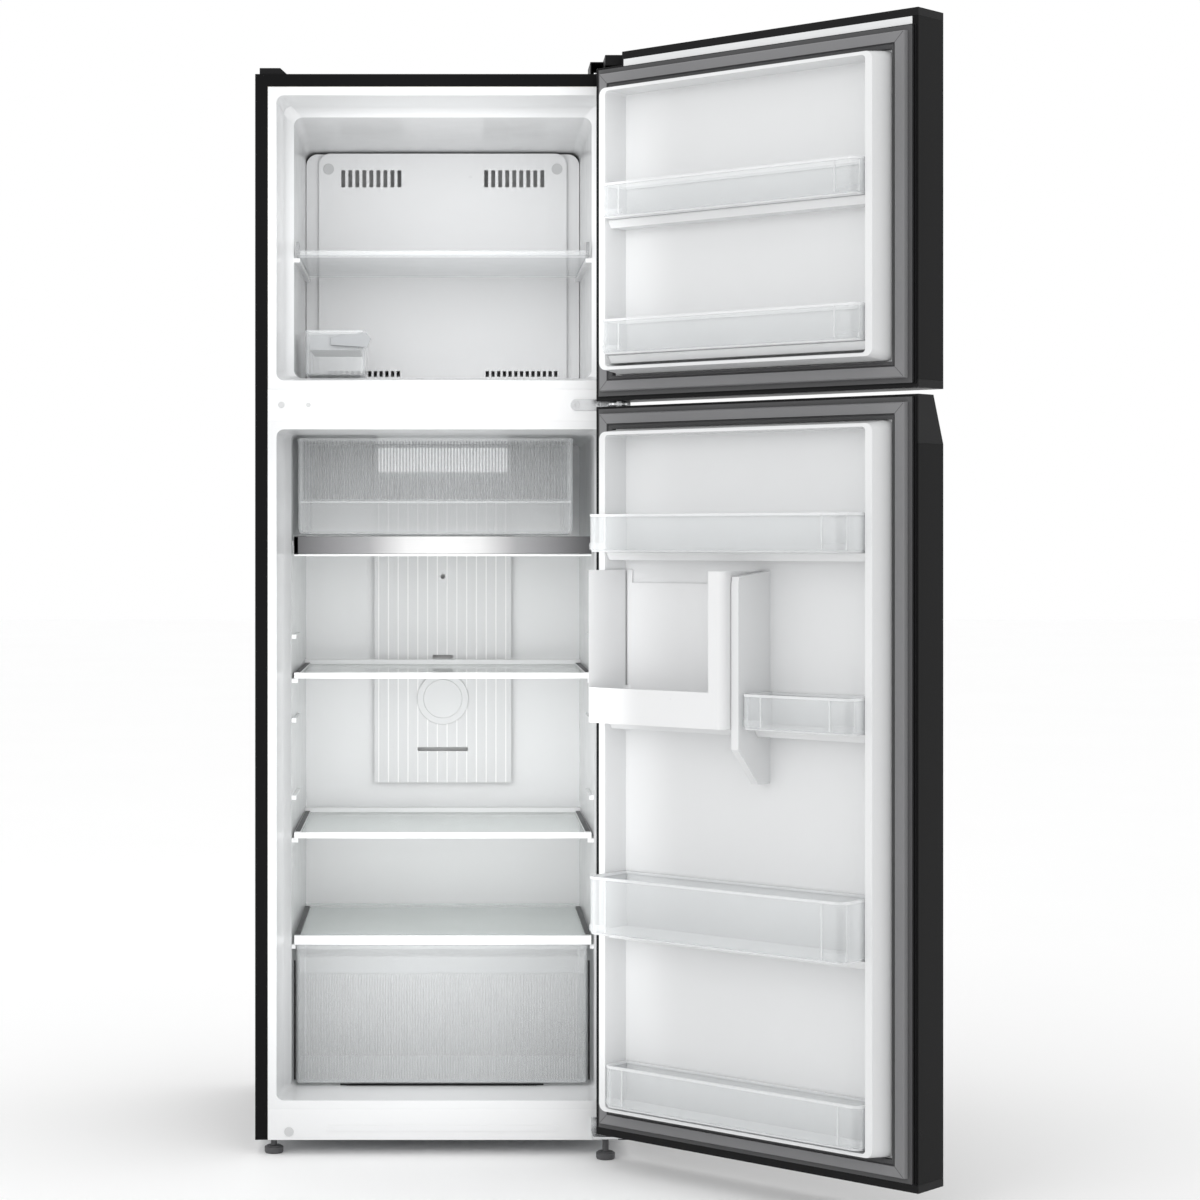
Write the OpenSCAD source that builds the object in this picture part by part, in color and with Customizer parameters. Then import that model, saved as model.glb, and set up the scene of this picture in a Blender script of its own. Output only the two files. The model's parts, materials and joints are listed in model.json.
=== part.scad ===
/* [Cabinet] */
// Width of the cabinet
cab_w = 600; // [500:5:720]
// Depth of the cabinet from its sealing face to its back
cab_d = 590; // [492:2:708]
// Height of the steel shell
cab_h = 1704; // [1420:4:2048]
// Space between the floor and the shell
floor_gap = 24; // [20:1:34]
// Width of the shell's front edge
front_edge = 20; // [16:1:26]
// Width of the white rim round each opening
rim_w = 14; // [10:1:18]
// Height of the kick plate
kick_h = 49; // [40:1:60]
// Height of the panel between the two compartments
beam_h = 50; // [42:1:60]
// Height of the freezer opening
freezer_h = 456; // [380:1:548]
// Steel sheet thickness
sheet = 1; // [0.8:0.1:1.4]
// Thickness of the moulded liners
liner_t = 2; // [1.6:0.2:2.6]
// Insulation behind the freezer compartment
freezer_wall = 65; // [54:1:78]
// Insulation behind the fridge compartment
fridge_wall = 85; // [71:1:102]
// Depth of the machine room at the bottom of the back
machine_d = 205; // [190:1:230]
// Height of the machine room above the underside
machine_h = 206; // [190:1:240]
// Insulation round the machine room
machine_wall = 35; // [28:1:42]

/* [Doors] */
// Angle that the doors stand open at
door_open = 137.3; // [90:0.1:140]
// Thickness of the doors
door_t = 66; // [55:1:80]
// Space between a closed door and the cabinet
door_gap = 14; // [12:0.5:17]
// Space between the two doors
door_split = 9; // [8:0.5:12]
// How far the doors rise above the cabinet
door_rise = 20; // [17:1:24]
// How far the lower door stops above the underside
door_drop = 21; // [18:1:26]
// Hinge pin to the door's hinge edge
hinge_to_edge = 20.5; // [18:0.5:24]
// Hinge pin to the door's outer face
hinge_to_face = 35; // [30:0.5:38]
// Width of the gasket
gasket_w = 32; // [26:1:38]
// Height of the raised frame of the door liner
dyke_h = 49; // [41:1:56]
// Width of the raised frame at its foot
dyke_w = 20; // [17:1:24]
// Width of the raised frame at the top and bottom
dyke_end = 12; // [10:1:15]
// Height of the finger grip on the lower door
grip_h = 71; // [60:1:85]
// How far the finger grip slants back
grip_slant = 26; // [20:1:30]
// Radius of the hinge pins
pin_r = 4; // [3.3:0.1:4.8]

/* [Shelves and drawers] */
// Thickness of the shelf glass
glass_t = 4; // [3.2:0.1:5]
// Place of the lower shelf between the drawer cover and the chiller
lower_shelf_at = 0.272; // [0.2:0.01:0.34]
// Place of the upper shelf between the drawer cover and the chiller
upper_shelf_at = 0.693; // [0.6:0.01:0.76]
// Place of the freezer shelf in its compartment
freezer_shelf_at = 0.47; // [0.4:0.01:0.56]
// Height of the vegetable drawer
crisper_h = 227; // [190:1:240]
// Height of the chiller drawer
chiller_h = 158; // [132:1:170]
// Height of the metal trim under the chiller drawer
trim_h = 32.5; // [27:0.5:39]
// Thickness of the clear mouldings
clear_t = 2.5; // [2:0.1:3]
// Depth of the deep door bins
bin_d = 100; // [83:1:102]
// Depth of the shallow door bins
shallow_bin_d = 68; // [58:1:80]

/* [Feet and fan] */
// Radius of the levelling feet
foot_r = 15; // [13:0.5:18]
// Radius of the rear rollers
roller_r = 11; // [9.5:0.5:12]
// Radius of the fan
fan_r = 50; // [42:1:56]

/* [Hidden] */
$fn = 48;
eps = 0.01;
// Clearance between pieces that slide or lift out
fit = 0.5;
// Radial clearance of a pin in its bore
run_fit = 0.08;

// Levels of the cabinet
z_base = floor_gap;
z_top = floor_gap + cab_h;
half_w = cab_w / 2;
mouth_w = half_w - front_edge - rim_w;
freezer_z1 = z_top - front_edge - rim_w;
freezer_z0 = freezer_z1 - freezer_h;
beam_z1 = freezer_z0 - rim_w;
beam_z0 = beam_z1 - beam_h;
fridge_z1 = beam_z0 - rim_w;
kick_z1 = z_base + kick_h;
fridge_z0 = kick_z1 + rim_w;

// Compartments: [depth, inset of the sides, of the floor, of the ceiling, corner radius]
freezer_back = cab_d - freezer_wall;
fridge_back = cab_d - fridge_wall;
freezer_steps = [[0, 0, 0, 0, 12], [62, 8, 5, 8, 14], [78, 24, 8, 24, 14],
    [freezer_back, 26, 12, 32, 14]];
fridge_steps = [[0, 0, 0, 0, 12], [72, 8, 2, 3, 10], [88, 19, 3, 5, 8],
    [fridge_back, 23, 3, 8, 8]];
freezer_floor = freezer_z0 + freezer_steps[2][2];
fridge_floor = fridge_z0 + fridge_steps[2][2];
fridge_ceiling = fridge_z1 - fridge_steps[2][3];
machine_y = cab_d - machine_d;
machine_z = z_base + machine_h;
hump_y = machine_y - machine_wall;
hump_z = machine_z + machine_wall;

// Doors, drawn closed
door_w = cab_w - 2;
door_x = door_w / 2;
door_in = -door_gap;
door_out = -door_gap - door_t;
split_z = (beam_z0 + beam_z1) / 2 - 1.5;
upper_door_z0 = split_z + door_split / 2;
upper_door_z1 = z_top + door_rise;
lower_door_z0 = z_base + door_drop;
lower_door_z1 = split_z - door_split / 2;
hinge_x = door_x - hinge_to_edge;
hinge_y = door_out + hinge_to_face;
plate_t = 3;
cap_h = 12;
notch_w = 52;
notch_z = z_top - 1;
skin_return = 10;
dyke_taper = 6;
dyke_side = mouth_w - 7;
dyke_play = 3;
dyke_x = dyke_side - dyke_w;
gasket_foot = 4;
gasket_top = door_gap - 1;
pin_l = 13;

// Shelf levels in the fridge
shelf_y = 100;
drawer_z0 = fridge_floor + 4;
cover_z0 = drawer_z0 + crisper_h + fit;
cover_trim = 14.6;
cover_z1 = cover_z0 + cover_trim;
chiller_z1 = fridge_ceiling - 6;
chiller_z0 = chiller_z1 - chiller_h;
rack_z1 = chiller_z0 - 2;
rack_z0 = rack_z1 - trim_h;
lower_shelf_z = cover_z1 + (rack_z0 - cover_z1) * lower_shelf_at;
upper_shelf_z = cover_z1 + (rack_z0 - cover_z1) * upper_shelf_at;
shelf_x = mouth_w - 19 - 4;
ledge_h = 7;
freezer_shelf_y = 70;
freezer_shelf_x = mouth_w - 24 - 4;
freezer_shelf_z = freezer_floor + (freezer_z1 - 24 - freezer_floor) * freezer_shelf_at + 8;
cover_y = freezer_back - 95;
freezer_shelf_d = cover_y - 5 - freezer_shelf_y;
duct_y = fridge_back - 25;
shelf_d = duct_y - 5 - shelf_y;
duct_x = 121;
// The disc hangs under the upper shelf's trim, and the duct ends below the disc
shelf_trim_h = 9.4;
disc_r = 45.5;
disc_z = upper_shelf_z - shelf_trim_h - disc_r - 8.76;
duct_z0 = disc_z - 148.5;

// Door bins: levels as shares of the liner recess
bin_x = dyke_x - 1;
lower_recess_z0 = fridge_z0 + dyke_play + dyke_end;
lower_recess_z1 = fridge_z1 - dyke_play - dyke_end;
upper_recess_z0 = freezer_z0 + dyke_play + dyke_end;
upper_recess_z1 = freezer_z1 - dyke_play - dyke_end;
function lower_at(share) = lower_recess_z0 + (lower_recess_z1 - lower_recess_z0) * share;
function upper_at(share) = upper_recess_z0 + (upper_recess_z1 - upper_recess_z0) * share;
bin_lift = 12;
bin_ledge = 12;
top_bin_z = lower_at(0.827);
pocket_z = lower_at(0.576);
large_bin_z = lower_at(0.264);
bottom_bin_z = lower_recess_z0 + 3;
upper_bin_z = upper_at(0.533);
lower_bin_z = upper_recess_z0 + 17;
pocket_z1 = top_bin_z - bin_ledge - bin_lift - 4;
rib_x = door_x - 331;

// Fan, feet, rollers and machine room
fan_z = freezer_z1 - 120;
fan_y = cover_y + 42;
left_foot_x = -(half_w - 29);
left_foot_y = 20;
right_foot_x = hinge_x - 20;
right_foot_y = -25;
foot_h = 12;
stud_r = 5;
roller_x = half_w - 50;
roller_y = cab_d - 35;
roller_w = 12;
axle_r = 3;
comp_x = 60;
comp_y = machine_y + machine_d / 2;
comp_r = 64;
comp_z0 = z_base + 17;
comp_z1 = z_base + 168;

module box(x0, x1, y0, y1, z0, z1) {
    translate([x0, y0, z0]) cube([x1 - x0, y1 - y0, z1 - z0]);
}

module rrect(x0, x1, y0, y1, r) {
    translate([x0 + r, y0]) square([x1 - x0 - 2 * r, y1 - y0]);
    translate([x0, y0 + r]) square([x1 - x0, y1 - y0 - 2 * r]);
    for (x = [x0 + r, x1 - r], y = [y0 + r, y1 - r]) translate([x, y]) circle(r);
}

// The four rounded corners of a rectangle, for hull() to join
module corners(x0, x1, y0, y1, r) {
    for (x = [x0 + r, x1 - r], y = [y0 + r, y1 - r]) translate([x, y]) circle(r);
}

// A front view outline (X, Z) made solid from y0 to y1
module along_y(y0, y1) {
    translate([0, y1, 0]) rotate([90, 0, 0]) linear_extrude(y1 - y0) children();
}

// A side view outline (Y, Z) made solid from x0 to x1
module along_x(x0, x1) {
    translate([x0, 0, 0]) rotate([90, 0, 90]) linear_extrude(x1 - x0) children();
}

module up(z0, z1) {
    translate([0, 0, z0]) linear_extrude(z1 - z0) children();
}

module rod_y(x, z, y0, y1, r) {
    translate([x, y1, z]) rotate([90, 0, 0]) cylinder(r = r, h = y1 - y0);
}

module rod_x(y, z, x0, x1, r) {
    translate([x0, y, z]) rotate([0, 90, 0]) cylinder(r = r, h = x1 - x0);
}

module rod_z(x, y, z0, z1, r) {
    translate([x, y, z0]) cylinder(r = r, h = z1 - z0);
}

module both_sides() {
    children();
    mirror([1, 0, 0]) children();
}

// One step of a compartment: a thin rounded slice, grown outwards by g
module slice(s, z0, z1, g, y) {
    x = mouth_w - s[1] + g;
    along_y(y, y + eps) corners(-x, x, z0 + s[2] - g, z1 - s[3] + g, s[4] + g);
}

module compartment(steps, z0, z1, g) {
    for (i = [0:2]) hull() {
        slice(steps[i], z0, z1, g, steps[i][0] - (i == 0 && g == 0 ? 1 : 0));
        slice(steps[i + 1], z0, z1, g, steps[i + 1][0] + (i == 2 ? g - eps : 0));
    }
}

module hump(g) {
    along_x(-half_w, half_w) polygon([[hump_y + g, 0], [hump_y + g, hump_z - g - 30],
        [hump_y + g + 30, hump_z - g], [cab_d, hump_z - g], [cab_d, 0]]);
}

module freezer_space(g) {
    compartment(freezer_steps, freezer_z0, freezer_z1, g);
}

module fridge_space(g) {
    difference() {
        compartment(fridge_steps, fridge_z0, fridge_z1, g);
        hump(g);
    }
}

module rim(z0, z1) {
    along_y(0, liner_t) translate([-half_w + front_edge + 0.2, z0])
        square([2 * (half_w - front_edge - 0.2), z1 - z0]);
}

// A pair of moulded ledges whose tops are at z
module ledges(x, z, y0, y1) {
    both_sides() box(x, half_w, y0, y1, z - ledge_h, z);
}

module outer_shell() {
    color("#1c1d1f") difference() {
        box(-half_w, half_w, 0, cab_d, z_base, z_top);
        box(-half_w + sheet, half_w - sheet, sheet, cab_d + 1, z_base - 1, z_top - sheet);
        box(-half_w + front_edge, half_w - front_edge, -1, 2 * sheet, z_base - 1,
            z_top - front_edge);
    }
}

module back_panel() {
    color("#8d9194") difference() {
        box(-half_w + sheet, half_w - sheet, cab_d - sheet, cab_d, machine_z + sheet,
            z_top - sheet);
        rod_y(0, z_top - 60, cab_d - 2, cab_d + 1, 12);
    }
}

module base_frame() {
    inner = half_w - sheet;
    color("#6f7376") difference() {
        union() {
            box(-inner, inner, 2, machine_y + sheet, z_base, z_base + sheet);
            box(-inner, inner, machine_y, machine_y + sheet, z_base, machine_z);
            box(-inner, inner, machine_y, cab_d - 4, machine_z - sheet, machine_z);
            both_sides() box(half_w - 75, inner, machine_y, cab_d - 4, z_base, z_base + 2);
            box(-inner, inner, comp_y - 55, comp_y + 55, z_base, z_base + 2);
            both_sides() for (side = [-1, 1])
                along_x(roller_x + side * (roller_w / 2 + 2.5) - 1,
                    roller_x + side * (roller_w / 2 + 2.5) + 1)
                translate([roller_y, 0]) polygon([[-12, z_base + 1], [12, z_base + 1],
                    [5, roller_r - 5], [-5, roller_r - 5]]);
            rod_z(left_foot_x, left_foot_y, z_base, z_base + 14, 9);
        }
        both_sides() rod_x(roller_y, roller_r, roller_x - 20, roller_x + 20, axle_r + run_fit);
        rod_z(left_foot_x, left_foot_y, z_base - 1, z_base + 20, stud_r + run_fit);
        both_sides() box(roller_x - roller_w / 2 - 1, roller_x + roller_w / 2 + 1,
            roller_y - roller_r - 2, roller_y + roller_r + 2, z_base - 1, z_base + 3);
    }
}

module cabinet_foam() {
    inner = half_w - sheet;
    color("#e8dcae") difference() {
        box(-inner, inner, sheet, cab_d - sheet, z_base + sheet, z_top - sheet);
        freezer_space(liner_t);
        fridge_space(liner_t);
        box(-inner - 1, inner + 1, machine_y, cab_d, z_base, machine_z + sheet);
        box(-half_w + front_edge, half_w - front_edge, 0, liner_t, z_base, z_top - front_edge);
        rod_z(left_foot_x, left_foot_y, z_base, z_base + 50, 9);
        box(-half_w, half_w, 0, 3, z_base, z_base + 3);
    }
}

module freezer_liner() {
    color("#eef0f1") difference() {
        union() {
            freezer_space(liner_t);
            rim(beam_z1, z_top - front_edge - 0.2);
        }
        difference() {
            freezer_space(0);
            ledges(freezer_shelf_x - 6, freezer_shelf_z - 12, freezer_shelf_y + 8, cover_y - 8);
        }
    }
}

module fridge_liner() {
    color("#eceef0") difference() {
        union() {
            fridge_space(liner_t);
            rim(kick_z1, beam_z0);
        }
        difference() {
            fridge_space(0);
            ledges(shelf_x - 2, cover_z0 - fit, shelf_y + 8, shelf_y + shelf_d);
            for (z = [lower_shelf_z - 10, upper_shelf_z - 10, rack_z1 - 7 - fit])
                ledges(shelf_x - 6, z, shelf_y + 8, shelf_y + shelf_d);
            for (z = [lower_shelf_z + 60, upper_shelf_z - 75, upper_shelf_z + 62])
                ledges(shelf_x - 3, z, shelf_y + 8, shelf_y + 150);
        }
    }
}

module centre_beam_cover() {
    x = half_w - front_edge - 0.2;
    color("#f2f3f4") difference() {
        box(-x, x, 0, liner_t, beam_z0, beam_z1);
        for (p = beam_plugs) rod_y(p[0], p[1], -1, liner_t + 1, p[2] - 1);
    }
}

beam_mid = (beam_z0 + beam_z1) / 2;
beam_plugs = [[-half_w + 42, beam_mid, 5], [-half_w + 85, beam_mid, 3.5]];
kick_plug = [-half_w + 54, z_base + 13, 7.5];
cover_plugs = [[-200, freezer_z1 - 61, 9.5], [200, freezer_z1 - 61, 9.5]];

module kick_plate() {
    x = half_w - front_edge - 0.2;
    color("#eff0f1") union() {
        difference() {
            box(-x, x, 0, liner_t, z_base, kick_z1);
            rod_y(kick_plug[0], kick_plug[1], -1, liner_t + 1, kick_plug[2] - 1);
        }
        along_y(-1, 0) rrect(-187, 186, z_base + 14, z_base + 23, 4);
    }
}

// A press-in plug: a domed head on a short stem
module plug(p, y) {
    rod_y(p[0], p[1], y - 1.2, y, p[2]);
    rod_y(p[0], p[1], y, y + liner_t, p[2] - 1);
}

module screw_caps() {
    color("#dfe1e3") {
        for (p = beam_plugs) plug(p, 0);
        plug(kick_plug, 0);
        for (p = cover_plugs) rod_y(p[0], p[1], cover_y - 1.5, cover_y, p[2]);
    }
}

module top_covers() {
    z = z_top + plate_t + 0.3;
    color("#232426") {
        difference() {
            union() {
                box(half_w - 64, half_w - 4, 5, 80, z_top, z_top + door_rise);
                box(half_w - 44, half_w - 4, hinge_y - 15, 6, z, z_top + door_rise);
            }
            box(half_w - 62, half_w - 6, 3, 78, z_top - 1, z_top + door_rise - 2);
            box(half_w - 42, half_w - 6, hinge_y - 13, 7, z - 1, z_top + door_rise - 2);
        }
        difference() {
            along_y(3, 60) polygon([[-half_w + 7, z_top], [-half_w + 51, z_top],
                [-half_w + 40, z_top + 10], [-half_w + 7, z_top + 10]]);
            box(-half_w + 9, -half_w + 38, 5, 58, z_top - 1, z_top + 8);
        }
    }
}

module top_hinge() {
    color("#c9ccce") union() {
        up(z_top, z_top + plate_t) difference() {
            union() {
                rrect(half_w - 60, half_w - 10, 8, 74, 4);
                rrect(hinge_x - 12, hinge_x + 12, hinge_y - 12, 20, 8);
            }
            for (p = top_screws) translate(p) circle(3);
        }
        rod_z(hinge_x, hinge_y, z_top - 1 - pin_l, z_top + eps, pin_r);
    }
}

top_screws = [[half_w - 50, 30], [half_w - 22, 30], [half_w - 36, 62]];
centre_screw_x = [half_w - 87, half_w - 49];
centre_flange = 17;
centre_plate_z = split_z - plate_t / 2;

module centre_hinge() {
    color("#d4d7d9") difference() {
        union() {
            along_y(-3, 0) rrect(half_w - 96, half_w - 1, beam_mid - centre_flange / 2,
                beam_mid + centre_flange / 2, centre_flange / 2 - 0.1);
            up(centre_plate_z, centre_plate_z + plate_t)
                rrect(hinge_x - 16, hinge_x + 13, hinge_y - 12, 0, 9);
            rod_z(hinge_x, hinge_y, lower_door_z1 - pin_l, upper_door_z0 + pin_l, pin_r);
        }
        for (x = centre_screw_x) rod_y(x, beam_mid, -4, 1, 3);
    }
}

bottom_plate_z = lower_door_z0 - 4 - plate_t;
bottom_screws = [for (x = [0, 22]) [right_foot_x + x, bottom_plate_z + 14]];

module bottom_hinge() {
    color("#b9bcbf") difference() {
        union() {
            box(right_foot_x - 22, half_w - 3, -3, 0, bottom_plate_z - 8, bottom_plate_z + 23);
            up(bottom_plate_z, bottom_plate_z + plate_t)
                rrect(right_foot_x - 22, half_w - 8, hinge_y - 12, 0, 6);
            rod_z(right_foot_x, right_foot_y, bottom_plate_z - 6, bottom_plate_z, 9);
            rod_z(hinge_x, hinge_y, bottom_plate_z, lower_door_z0 + cap_h - 1, pin_r);
        }
        rod_z(right_foot_x, right_foot_y, bottom_plate_z - 8, bottom_plate_z + 5,
            stud_r + run_fit);
        for (p = bottom_screws) rod_y(p[0], p[1], -4, 1, 3);
    }
}

// A pan-head screw that points along -Y, its head resting at y
module screw_y(x, z, y) {
    difference() {
        union() {
            rod_y(x, z, y - 2.5, y, 5.5);
            rod_y(x, z, y, y + 3, 2.9);
        }
        for (turn = [0, 90]) translate([x, y - 2.5, z]) rotate([0, turn, 0])
            cube([6, 2, 1.2], center = true);
    }
}

module hinge_screws() {
    color("#a8abad") {
        for (x = centre_screw_x) screw_y(x, beam_mid, -3);
        for (p = bottom_screws) screw_y(p[0], p[1], -3);
        for (p = top_screws) difference() {
            union() {
                rod_z(p[0], p[1], z_top + plate_t, z_top + plate_t + 3, 5.5);
                rod_z(p[0], p[1], z_top, z_top + plate_t, 2.9);
            }
            translate([p[0], p[1], z_top + plate_t + 3]) cube([6, 1.2, 2], center = true);
        }
    }
}

cover_x = mouth_w - 49;
cover_low = freezer_floor + 6;
cover_high = freezer_z1 - 34;
vent_z = freezer_z1 - 93;

// A flange behind the cover's face closes the space to the walls
flange_x = mouth_w - freezer_steps[3][1] - fit;

module evaporator_cover() {
    color("#e9ebed") difference() {
        union() {
            along_y(cover_y, freezer_back - 0.3)
                rrect(-cover_x, cover_x, cover_low, cover_high, 20);
            along_y(cover_y + 10, cover_y + 12)
                rrect(-flange_x, flange_x, cover_low, cover_high, 20);
        }
        along_y(cover_y + liner_t, freezer_back)
            rrect(-cover_x + liner_t, cover_x - liner_t, cover_low + liner_t,
                cover_high - liner_t, 18);
        for (side = [-1, 1], i = [0:8]) along_y(cover_y - 1, cover_y + 3)
            rrect(side * (76 + 12.3 * i) - 3.5, side * (76 + 12.3 * i) + 3.5, vent_z,
                vent_z + 30, 1.5);
        for (side = [-1, 1], i = [0:12]) along_y(cover_y - 1, cover_y + 3)
            translate([side * (78 + 10 * i) - 3, cover_low + 17]) square([6, 10]);
        for (side = [-1, 1]) rod_y(side * 200, cover_plugs[0][1], cover_y - 1, cover_y + 3, 3);
    }
}

coil_x = cover_x - 37;
coil_y = [cover_y + 32, cover_y + 62];
coil_z = [for (i = [0:4]) cover_low + 45 + 36 * i];

module evaporator_coil() {
    color("#c6cacd") union() {
        for (i = [0:18]) translate([-coil_x + 20 + i * (2 * coil_x - 40) / 18, 0, 0])
            box(-0.5, 0.5, coil_y[0] - 16, coil_y[1] + 16, coil_z[0] - 16, coil_z[4] + 16);
        for (y = coil_y, z = coil_z) rod_x(y, z, -coil_x, coil_x, 4);
        for (z = coil_z) both_sides() translate([coil_x, (coil_y[0] + coil_y[1]) / 2, z])
            difference() {
                rotate_extrude() translate([15, 0]) circle(4);
                translate([-40, -40, -10]) cube([40, 80, 20]);
            }
    }
}

module fan_motor() {
    color("#3a3d40") union() {
        rod_y(0, fan_z, fan_y + 14, fan_y + 40, 21);
        rod_y(0, fan_z, fan_y - 12, fan_y + 15, 2);
        along_y(fan_y + 38, freezer_back - 0.3) rrect(-60, 60, fan_z - 8, fan_z + 8, 3);
    }
}

module fan() {
    color("#d8dbdd") difference() {
        union() {
            rod_y(0, fan_z, fan_y - 11, fan_y + 11, 13);
            intersection() {
                rod_y(0, fan_z, fan_y - 11, fan_y + 11, fan_r);
                for (i = [0:6]) translate([0, fan_y, fan_z]) rotate([0, i * 360 / 7, 0])
                    rotate([35, 0, 0]) translate([8, -0.9, -18]) cube([fan_r, 1.8, 36]);
            }
        }
        rod_y(0, fan_z, fan_y - 12, fan_y + 12, 2 + run_fit);
    }
}

duct_rib = 17.3;
duct_z1 = fridge_ceiling - 4;
duct_slots = [[upper_shelf_z + 10, 18], [upper_shelf_z - 11, 18], [duct_z0 + 59, 44.5]];
hole_z = upper_shelf_z + (rack_z0 - upper_shelf_z) * 0.8;

module air_duct_cover() {
    color("#edeff0") difference() {
        union() {
            along_y(duct_y, fridge_back - 0.3) rrect(-duct_x, duct_x, duct_z0, duct_z1, 4);
            for (i = [-6:6]) box(i * duct_rib - 1, i * duct_rib + 1, duct_y - 0.8, duct_y + 1,
                duct_z0 + 6, duct_z1 - 6);
        }
        along_y(duct_y + liner_t, fridge_back)
            rrect(-duct_x + liner_t, duct_x - liner_t, duct_z0 + liner_t, duct_z1 - liner_t, 3);
        for (s = duct_slots) along_y(duct_y - 2, duct_y + 3)
            rrect(-s[1], s[1], s[0] - 3.5, s[0] + 3.5, 2);
        rod_y(0, hole_z, duct_y - 2, duct_y + 3, 4);
        rod_y(0, disc_z, duct_y - 2, duct_y + 3, 30);
        along_y(duct_y - 2, duct_y) rrect(-lens_x - 1, lens_x + 1, lens_z0 - 1, lens_z1 + 1, 3);
        rod_y(0, disc_z, duct_y - 2, duct_y, disc_r + fit);
    }
}

module deodoriser_cover() {
    color("#f4f5f6") difference() {
        union() {
            rod_y(0, disc_z, duct_y - 6, duct_y, disc_r);
            rod_y(0, disc_z, duct_y - 8, duct_y - 5, 34);
            rod_y(0, disc_z, duct_y, duct_y + 15, 29.5);
        }
        rod_y(0, disc_z, duct_y - 4, duct_y + 16, 27.5);
    }
}

lens_x = 114;
lens_z1 = chiller_z1 - 3;
lens_z0 = lens_z1 - 43;

module lamp_lens() {
    color("#fbfbf6") along_y(duct_y - 7, duct_y) rrect(-lens_x, lens_x, lens_z0, lens_z1, 2.5);
}

module chiller_shelf() {
    x = shelf_x - 1;
    color("#dfe3e5") difference() {
        box(-x, x, shelf_y + 5, duct_y - 3, rack_z1 - 7, rack_z1 - 2);
        for (i = [-5:5]) box(i * 40 - 12, i * 40 + 12, duct_y - 40, duct_y - 20,
            rack_z1 - 8, rack_z1);
    }
}

module chiller_trim() {
    color("#c4c7c9") along_x(-shelf_x, shelf_x) polygon([
        [shelf_y - 3, rack_z0 + 3], [shelf_y, rack_z0], [shelf_y + 12, rack_z0],
        [shelf_y + 12, rack_z0 + 3], [shelf_y + 3, rack_z0 + 4],
        [shelf_y + 3, rack_z1 - 10], [shelf_y + 5, rack_z1 - 8], [shelf_y + 5, rack_z1],
        [shelf_y, rack_z1], [shelf_y - 3, rack_z1 - 3]]);
}

module compressor() {
    color("#202224") difference() {
        union() {
            translate([comp_x, comp_y, comp_z0]) rotate_extrude($fn = 72) polygon(concat(
                [[0, 0], [comp_r - 14, 0]],
                [for (a = [-75:15:0]) [comp_r - 14 + 14 * cos(a), 14 + 14 * sin(a)]],
                [[comp_r, comp_z1 - comp_z0 - 34]],
                [for (a = [15:15:90]) [comp_r * cos(a), comp_z1 - comp_z0 - 34 + 34 * sin(a)]]));
            translate([comp_x, comp_y, comp_z0 + 22]) cylinder(r = comp_r + 3, h = 5);
            box(comp_x - 90, comp_x + 90, comp_y - 46, comp_y + 46, comp_z0, comp_z0 + 3);
            rod_y(comp_x - 30, comp_z0 + 90, comp_y - 62, comp_y - 40, 5);
            rod_y(comp_x + 30, comp_z0 + 90, comp_y - 62, comp_y - 40, 5);
        }
        translate([comp_x, comp_y, comp_z0 + 4]) cylinder(r = comp_r - 5, h = 105);
        rod_y(comp_x - 30, comp_z0 + 90, comp_y - 63, comp_y - 30, 2.5);
        for (x = [-78, 78], y = [-36, 36])
            rod_z(comp_x + x, comp_y + y, comp_z0 - 1, comp_z0 + 4, 5);
    }
}

module compressor_mounts() {
    color("#17181a") for (x = [-78, 78], y = [-36, 36]) union() {
        rod_z(comp_x + x, comp_y + y, z_base + 2, comp_z0, 10);
        rod_z(comp_x + x, comp_y + y, comp_z0, comp_z0 + 3, 4.9);
        rod_z(comp_x + x, comp_y + y, comp_z0 + 3, comp_z0 + 6, 8);
    }
}

// Round tubing through a list of points
module tube(points, r) {
    for (i = [0:len(points) - 2]) {
        d = points[i + 1] - points[i];
        translate(points[i]) rotate([0, acos(d[2] / norm(d)), atan2(d[1], d[0])])
            cylinder(r = r, h = norm(d), $fn = 24);
    }
    for (i = [1:len(points) - 2]) translate(points[i]) sphere(r = r, $fn = 24);
}

module refrigerant_tubes() {
    y = comp_y - 62;
    z = comp_z0 + 90;
    color("#b36a3c") {
        tube([[comp_x + 30, y, z], [comp_x + 30, y - 14, z], [comp_x + 150, y - 14, z],
            [comp_x + 150, y - 14, z_base + 40], [comp_x + 150, comp_y + 60, z_base + 40]], 3.2);
        tube([[comp_x - 30, y, z], [comp_x - 30, y - 14, z], [comp_x - 100, y - 14, z],
            [comp_x - 100, y - 14, z_base + 60]], 3.2);
        rod_z(comp_x + 190, comp_y, z_base + 60, z_base + 160, 9);
        rod_z(comp_x + 190, comp_y, z_base + 40, z_base + 180, 3);
    }
}

module drain_pan() {
    color("#2c2e30") difference() {
        box(comp_x - 90, comp_x + 90, comp_y - 60, comp_y + 60, comp_z1 + 2, comp_z1 + 30);
        box(comp_x - 88, comp_x + 88, comp_y - 58, comp_y + 58, comp_z1 + 4, comp_z1 + 31);
    }
}

module control_box() {
    color("#e4e4de") union() {
        box(-half_w + 60, -half_w + 190, comp_y - 40, comp_y + 30, z_base + 20, z_base + 140);
        box(-half_w + 70, -half_w + 180, comp_y - 36, comp_y + 26, z_base + 2, z_base + 20);
    }
}

gland_x = -half_w + 60;

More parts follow.
